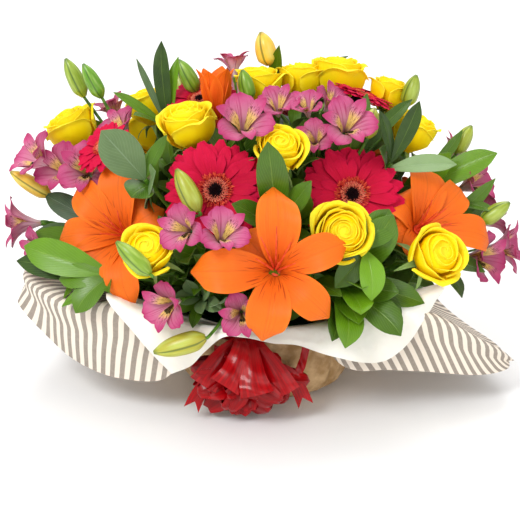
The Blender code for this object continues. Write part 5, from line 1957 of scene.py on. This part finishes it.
# Fork, blooms and tone
SPRAYS = {
    "left": (
        (-179, 36, 165),
        (Place(174, 33, 230, -110, 38), Place(-176, 39, 218, -98, 36), Place(176, 33, 248, -158, 41)), 0.2,
    ),
    "far_left": (
        (178, 20, 165), (Place(179, 21, 235, -171, 2), Place(-172, 19, 218, -150, 8, 30, 0.8)), 0.35,
    ),
    "centre": (
        (-110, 34, 136), (Place(-107, 39, 183, -76, 49, 0, 0.9), Place(-117, 41, 190, -117, 26, 20, 0.85)),
        0.2,
    ),
    "crown": (
        (-100, 78, 150), (Place(-113, 74, 197, -85, 50, 10, 1.05), Place(-60, 83, 202, -90, 60, 30, 0.75)),
        0.25,
    ),
    "crown_back": (
        (110, 66, 165), (Place(113, 70, 226, 111, 73, 0, 0.7), Place(107, 64, 205, 100, 60, 30, 0.85)), 0.3,
    ),
    "top_right": (
        (-30, 68, 145),
        (
            Place(-35, 76, 208, -108, 66, 0, 0.65), Place(-27, 66, 205, -82, 43, 20),
            Place(3, 74, 206, -40, 56, 40, 0.7), Place(-41, 70, 191, -104, 40, 10, 0.7),
        ),
        0.2,
    ),
    "top_left": (
        (168, 48, 165), (Place(153, 45, 233, 170, 66, 0, 0.75), Place(172, 51, 213, -160, 60, 30, 0.8)),
        0.3,
    ),
    "right_upper": (
        (8, 28, 165), (Place(7, 30, 222, -30, 34, 0, 0.9), Place(17, 34, 220, 10, 40, 30, 0.9)), 0.35,
    ),
    "right_lower": (
        (-2, 15, 150),
        (Place(-5, 16, 204, -40, 12), Place(2, 14, 224, -15, 12, 30), Place(7, 20, 216, 20, 20, 10)), 0.55,
    ),
    "low_left": ((-122, 22, 115), (Place(-122, 21, 158, -122, 7, 0, 0.9),), 0.3),
    "low_front": ((-99, 20, 110), (Place(-99, 20, 150, -90, 16, 20, 0.8),), 0.35),
    "back_left": (
        (118, 30, 140),
        (Place(112, 38, 192, 110, 42), Place(119, 26, 184, 120, 20, 20), Place(109, 30, 178, 100, 14, 40)),
        0.3,
    ),
    "back_right": (
        (70, 34, 140),
        (Place(63, 43, 196, 64, 44), Place(75, 36, 186, 76, 30, 20), Place(69, 27, 182, 66, 18, 40)), 0.3,
    ),
}
# Place of the stem's end, its leaves and its buds
LEAFY_STEMS = {
    "left_top": (
        (172, 62, 200),
        (
            Leaf(1.0, 165, 62, 276, 7, tone=0.3, grey=True), Leaf(1.0, 160, 70, 262, 12, tone=0.85),
            Leaf(1.0, 177, 56, 262, 11, tone=0.7), Leaf(1.0, -170, 58, 240, 18),
            Leaf(1.0, 162, 68, 282, 17, tone=0.1),
        ),
        (Bud(157, 71, 224, 174, 62, 36, ripe=0.05),),
    ),
    "left_outer": (
        (166, 45, 193),
        (Leaf(0.9, 150, 36, 250, 24), Leaf(0.7, 156, 40, 262, 26), Leaf(0.6, -174, 50, 238, 22, tone=0.3)),
        (Bud(164, 47, 274, 175, 66, ripe=0.15), Bud(167, 51, 262, 177, 63, 38, 6)),
    ),
    "left_low": (
        (-170, 30, 178),
        (
            Leaf(0.95, 177, 27, 245, 24, tone=0.1, grey=True), Leaf(0.85, -158, 17, 225, 30, tone=0.7),
            Leaf(0.6, -162, 15, 212, 24, tone=0.25), Leaf(0.5, -153, 15, 200, 24, tone=0.4),
        ),
        (Bud(176, 27, 240, -178, 34, 46, ripe=0.9),),
    ),
    "left_front": (
        (-154, 45, 182),
        (
            Leaf(0.95, -136, 51, 222, 40, tone=0.6, grey=True),
            Leaf(0.85, -143, 49, 206, 28, 0.05, tone=0.2), Leaf(0.8, -162, 58, 210, 18),
            Leaf(0.6, -167, 44, 203, 26, tone=0.6, grey=True),
        ),
        (Bud(-118, 47, 191, 144, 56, 44, 7.4, ripe=0.3),),
    ),
    "centre": (
        (-84, 50, 156),
        (
            Leaf(1.0, -89, 62, 232, 29, 0.05, tone=0.35), Leaf(0.9, -104, 50, 196, 22, tone=0.4),
            Leaf(0.9, -90, 53, 200, 22, tone=0.4), Leaf(0.95, -68, 56, 200, 20),
        ),
        (),
    ),
    "crown": (
        (85, 66, 200), (Leaf(0.9, 47, 62, 262, 15, tone=0.2), Leaf(0.85, 75, 78, 258, 14, tone=0.4)),
        (Bud(173, 86, 212, 150, 74, 30, 6, ripe=0.05), Bud(86, 74, 238, 158, 74, 34, 8.2, ripe=1.0)),
    ),
    "right_top": (
        (-20, 62, 186),
        (
            Leaf(0.95, 8, 55, 252, 14, tone=0.25), Leaf(0.85, -22, 65, 214, 24, tone=0.3),
            Leaf(0.8, -2, 66, 240, 17, tone=0.4),
        ),
        (Bud(13, 54, 243, 12, 74, 32, ripe=0.2), Bud(-20, 61, 211, 60, 60, 30, ripe=0.35)),
    ),
    "right_outer": (
        (3, 38, 195),
        (
            Leaf(0.7, -3, 42, 242, 26, tone=0.8), Leaf(0.9, 6, 42, 262, 12),
            Leaf(0.95, 0, 35, 276, 26, tone=0.8), Leaf(0.85, -7, 25, 252, 14, tone=0.4),
        ),
        (Bud(8, 38, 242, 11, 62, 32, ripe=0.25), Bud(-6, 24, 232, 0, 38, 34, ripe=0.2)),
    ),
    "right_low": (
        (-50, 29, 138),
        (
            Leaf(0.95, -44, 40, 212, 36, tone=0.45), Leaf(0.9, -58, 24, 184, 28, tone=0.8),
            Leaf(0.8, -45, 10, 182, 34, tone=0.25), Leaf(0.8, -36, 14, 190, 26, tone=0.4),
            Leaf(0.7, -60, 14, 176, 30, tone=0.7),
        ),
        (),
    ),
    "low_left": (
        (-110, 22, 128),
        (Leaf(0.95, -106, 22, 172, 18, tone=0.6, grey=True), Leaf(0.9, -113, 31, 168, 16, tone=0.4)),
        (Bud(-111, 10, 156, -174, -15, 50, 8, ripe=0.4),),
    ),
    "back_left": (
        (128, 44, 160),
        (
            Leaf(0.95, 141, 54, 235, 34), Leaf(0.9, 124, 48, 225, 32, tone=0.4),
            Leaf(0.8, 172, 24, 212, 30, tone=0.6), Leaf(0.7, 128, 12, 205, 30),
            Leaf(0.6, 140, 10, 195, 28, tone=0.3),
        ),
        (Bud(128, 54, 218, 130, 60, ripe=0.2),),
    ),
    "back_right": (
        (54, 46, 156),
        (
            Leaf(0.95, 40, 44, 190, 32), Leaf(0.9, 74, 54, 225, 32, tone=0.4),
            Leaf(0.8, 30, 38, 222, 30, tone=0.6), Leaf(0.7, 62, 10, 200, 30, tone=0.4),
            Leaf(0.6, 22, 14, 200, 28),
        ),
        (),
    ),
}
# Stems that only the scene has: broad leaves in front, as in the photo, and leaves that close gaps
EXTRA_STEMS = {
    "front_right": (
        (-53, 26, 140),
        (
            Leaf(0.95, -60, 17, 182, 28, 0.16, tone=0.95), Leaf(0.85, -66, 8, 180, 28, 0.16, tone=0.7),
            Leaf(0.9, -50, 9, 196, 30, 0.14, tone=0.35), Leaf(0.75, -69, 10, 172, 22, 0.14, tone=0.25),
            Leaf(0.85, -45, 20, 186, 26, 0.1, tone=0.4),
        ),
        (),
    ),
    "front_left": (
        (-121, 23, 132),
        (
            Leaf(0.95, -124, 21, 162, 15, 0.1, grey=True),
            Leaf(0.9, -106, 20, 152, 15, 0.1, tone=0.6, grey=True),
            Leaf(1.0, -121, 28, 160, 14, 0.1, tone=0.4, grey=True),
            Leaf(0.95, -111, 27, 156, 16, 0.1, tone=0.7, grey=True),
            Leaf(0.85, -113, 18, 158, 13, 0.1, grey=True), Leaf(0.8, -117, 12, 152, 12, 0.1, tone=0.3),
        ),
        (),
    ),
    "left_edge": (
        (-176, 24, 170),
        (
            Leaf(0.95, -173, 18, 248, 30, tone=0.65), Leaf(0.9, -179, 19, 240, 24, tone=0.2),
            Leaf(0.85, -176, 13, 246, 18), Leaf(0.7, -151, 10, 206, 24, 0.1, tone=0.55),
            Leaf(0.75, -156, 11, 214, 13, 0.1, tone=0.8), Leaf(0.8, -141, 18, 196, 24, tone=0.45),
        ),
        (Bud(-122, 27, 218, 160, 40, 42, 6.6, ripe=0.1),),
    ),
    "left_sage": (
        (-143, 49, 212),
        (
            Leaf(1.0, -147, 50, 276, 37, 0.04, tone=0.45, grey=True),
            Leaf(0.95, -141, 43, 217, 32, tone=0.3), Leaf(1.0, -138, 59, 236, 14, 0.04, tone=0.4),
        ),
        (),
    ),
    "right_pale": (
        (-51, 35, 178),
        (
            Leaf(1.0, -55, 20, 180, 25, 0.1, tone=1.0), Leaf(1.0, -64, 26, 162, 23, tone=0.3),
            Leaf(1.0, -42, 42, 206, 30, 0.06, tone=0.45),
        ),
        (),
    ),
    "left_low_edge": (
        (-147, 22, 184),
        (
            Leaf(1.0, -164, 20, 254, 32, 0.1, tone=0.75), Leaf(1.0, -156, 16, 222, 24, 0.12, tone=0.6),
            Leaf(1.0, -148, 10, 213, 28, 0.12), Leaf(0.9, -153, 10, 219, 11, tone=0.8),
            Leaf(0.9, -168, 15, 254, 26, tone=0.1),
        ),
        (),
    ),
    # The gap leaves have very low tones: painted shade between the flowers
    "front_gap": (
        (-150, 80, 150),
        (Leaf(1.0, -152, 84, 187, 34, 0.04, tone=0.15), Leaf(0.9, -120, 76, 176, 26, 0.05, tone=0.15)), (),
    ),
    "right_gap": (
        (-5, 47, 166),
        (Leaf(1.0, -5, 53, 207, 32, 0.05, tone=0.15), Leaf(0.9, 2, 50, 200, 26, 0.05, tone=0.15)), (),
    ),
    "crown_gap": (
        (48, 64, 180),
        (
            Leaf(1.0, 58, 63, 224, 34, 0.05, tone=0.1), Leaf(1.0, 68, 66, 212, 34, 0.05, tone=0.15),
            Leaf(0.95, 42, 60, 218, 34, 0.05, tone=0.1), Leaf(0.95, 24, 71, 204, 30, 0.05, tone=0.15),
            Leaf(0.9, 16, 49, 208, 34, 0.05, tone=0.1), Leaf(0.9, 110, 70, 186, 34, 0.05, tone=0.1),
        ),
        (),
    ),
    "right_crown": (
        (-20, 52, 206),
        (
            Leaf(1.0, -13, 56, 266, 17, 0.06, tone=0.12), Leaf(1.0, -18, 62, 240, 13, 0.06, tone=0.12),
            Leaf(0.95, -15, 41, 248, 20, 0.06, tone=0.9, grey=True),
            Leaf(0.95, -30, 56, 220, 22, 0.06, tone=0.1),
        ),
        (),
    ),
    "right_edge": (
        (-8, 24, 172),
        (
            Leaf(0.95, -26, 12, 212, 22, tone=0.2), Leaf(0.9, -2, 31, 262, 15),
            Leaf(0.85, 6, 22, 246, 24, tone=0.3), Leaf(0.8, -14, 14, 226, 20, tone=0.35),
        ),
        (),
    ),
}
# Ridge and edge of each column: turn, radius, height
WHITE_SHEET = (
    ((-145, 181, 130), (-127, 147, 52)), ((-136, 165, 118), (-119, 143, 65)),
    ((-126, 145, 108), (-113, 142, 82)), ((-114, 132, 104), (-106, 140, 98)),
    ((-102, 126, 103), (-98, 139, 99)), ((-90, 124, 103), (-88, 138, 94)),
    ((-78, 124, 103), (-76, 139, 89)), ((-66, 128, 104), (-64, 147, 77)), ((-55, 138, 108), (-55, 157, 69)),
    ((-47, 150, 113), (-49, 162, 66)), ((-40, 162, 118), (-44, 167, 69)), ((-33, 174, 124), (-39, 174, 81)),
    ((-27, 185, 130), (-34, 180, 100)),
)
STRIPED_SHEET = (
    ((-172, 226, 121), (-172, 246, 88)), ((-164, 220, 119), (-164, 222, 62)),
    ((-154, 200, 115), (-154, 194, 45)), ((-144, 170, 118), (-144, 170, 39)),
    ((-132, 138, 100), (-132, 144, 42)), ((-118, 112, 92), (-118, 118, 84)),
    ((-90, 108, 92), (-90, 112, 88)), ((-68, 110, 92), (-68, 116, 84)), ((-56, 122, 96), (-56, 134, 56)),
    ((-43, 146, 104), (-43, 156, 50)), ((-33, 178, 110), (-33, 182, 46)), ((-21, 226, 70), (-21, 228, 34)),
    ((-14, 240, 44), (-14, 250, 33)), ((-4, 226, 38), (-4, 236, 30)), ((20, 190, 46), (20, 204, 30)),
    ((60, 176, 108), (60, 184, 64)), ((90, 170, 108), (90, 178, 68)), ((120, 176, 108), (120, 184, 66)),
    ((150, 190, 112), (150, 198, 68)), ((174, 214, 118), (174, 226, 76)),
)
# How many stripes the print leans by down the sheet, at each turn
STRIPE_SLANT = (
    (-180, 1.3), (-150, 1.7), (-115, 0.6), (-80, -0.8), (-48, -2.4), (-20, -3.8), (0, -3.0), (30, -1.2),
    (90, 0.0), (150, 0.9), (180, 1.3),
)
# Rings of the bow's loops: first turn, number, lean, length, width
BOW_RINGS = (
    (0, 11, 0.12, 1.0, 21), (16, 10, 0.5, 0.93, 21), (185, 6, 0.9, 0.86, 20), (200, 5, 1.6, 0.7, 18),
    (210, 3, 3.0, 0.5, 17),
)
# Share of the bow's reach at each turn: it is wide to the sides and cut off at the upper right
BOW_OUTLINE = (
    (0, 1.0), (30, 0.68), (60, 0.64), (90, 0.68), (125, 0.78), (155, 0.94), (180, 1.0), (205, 0.96),
    (240, 0.76), (270, 0.72), (300, 0.74), (335, 0.88), (360, 1.0),
)
# Long pieces: points from the bow's centre, first width, last width, depth of the fork
BOW_TAILS = (
    (((-26, -8, 6), (-37, -12, -2), (-47, -15, -16), (-53, -17, -29)), 14, 15, 10),
    (((28, -8, 10), (40, -12, 6), (50, -15, -8), (57, -17, -25)), 14, 15, 10),
    (((44, -8, -2), (50, -9, 8), (54, -6, 18), (57, -3, 31)), 9, 7, 0),
    (((-6, 1, 37), (-20, -11, 29), (-32, -21, 16), (-41, -26, 2)), 10, 28, 0),
    (((-3, 1, 38), (-6, -17, 31), (-12, -31, 17), (-20, -38, 6)), 12, 30, 0),
    (((2, 1, 38), (4, -19, 30), (6, -35, 15), (10, -41, -1)), 12, 32, 0),
    (((6, 1, 37), (16, -11, 27), (29, -23, 11), (38, -28, -6)), 10, 28, 0),
)
# Radius and height of the bow's knot
KNOT = ((0.5, -11), (7, -11), (11.5, -6), (13, 0), (11.5, 6), (7, 11), (0.5, 11))


def cad_finishes() -> None:
    """Give the foam and the bowl, which stay as packed, their finishes."""
    for node, finish in (("floral_foam", FOAM), ("bowl", BOWL_PLASTIC)):
        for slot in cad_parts[node].material_slots:
            slot.material = finish.material()


def main() -> None:
    """Build the arrangement piece by piece, then the studio."""
    for number, (name, (place, petals)) in enumerate(ROSES.items()):
        Rose(f"rose_{name}", place, petals, seed=number).build()
    parts = GerberaParts(WhorlTree())
    for name, place in GERBERAS.items():
        Gerbera(f"gerbera_{name}", place, parts).build()
    for name, place in ADDED_GERBERAS.items():
        Gerbera(f"added_gerbera_{name}", place, parts, added=True).build()
    parts.discard()
    for number, (name, (place, petals)) in enumerate(LILIES.items()):
        filaments = LILY_FILAMENTS.get(name, EVEN_FILAMENTS)
        Lily(f"lily_{name}", place, petals, name in HALF_OPEN, filaments, seed=number).build()
    for number, (name, (fork, blooms, tone)) in enumerate(SPRAYS.items()):
        Spray(f"alstroemeria_{name}", fork, blooms, tone, seed=number).build()
    for number, (name, stem) in enumerate(LEAFY_STEMS.items()):
        LeafyStem(f"leaves_{name}", *stem, seed=number).build()
    for number, (name, stem) in enumerate(EXTRA_STEMS.items(), start=40):
        LeafyStem(f"added_leaves_{name}", *stem, seed=number, added=True).build()
    Filler().build()
    Sheet("striped_sheet", "striped_paper", STRIPED_PAPER, STRIPED_SHEET, 84.2, True, 300, seed=3).build()
    Sheet("white_sheet", "white_paper", WHITE_PAPER, WHITE_SHEET, 87.0, ripple=1.2, seed=4).build()
    KraftWrap("kraft_wrap").build()
    Bow("ribbon_bow").build()
    Band("ribbon_band").build()
    cad_finishes()
    add_studio()
    add_camera()


if __name__ == "__main__":
    main()
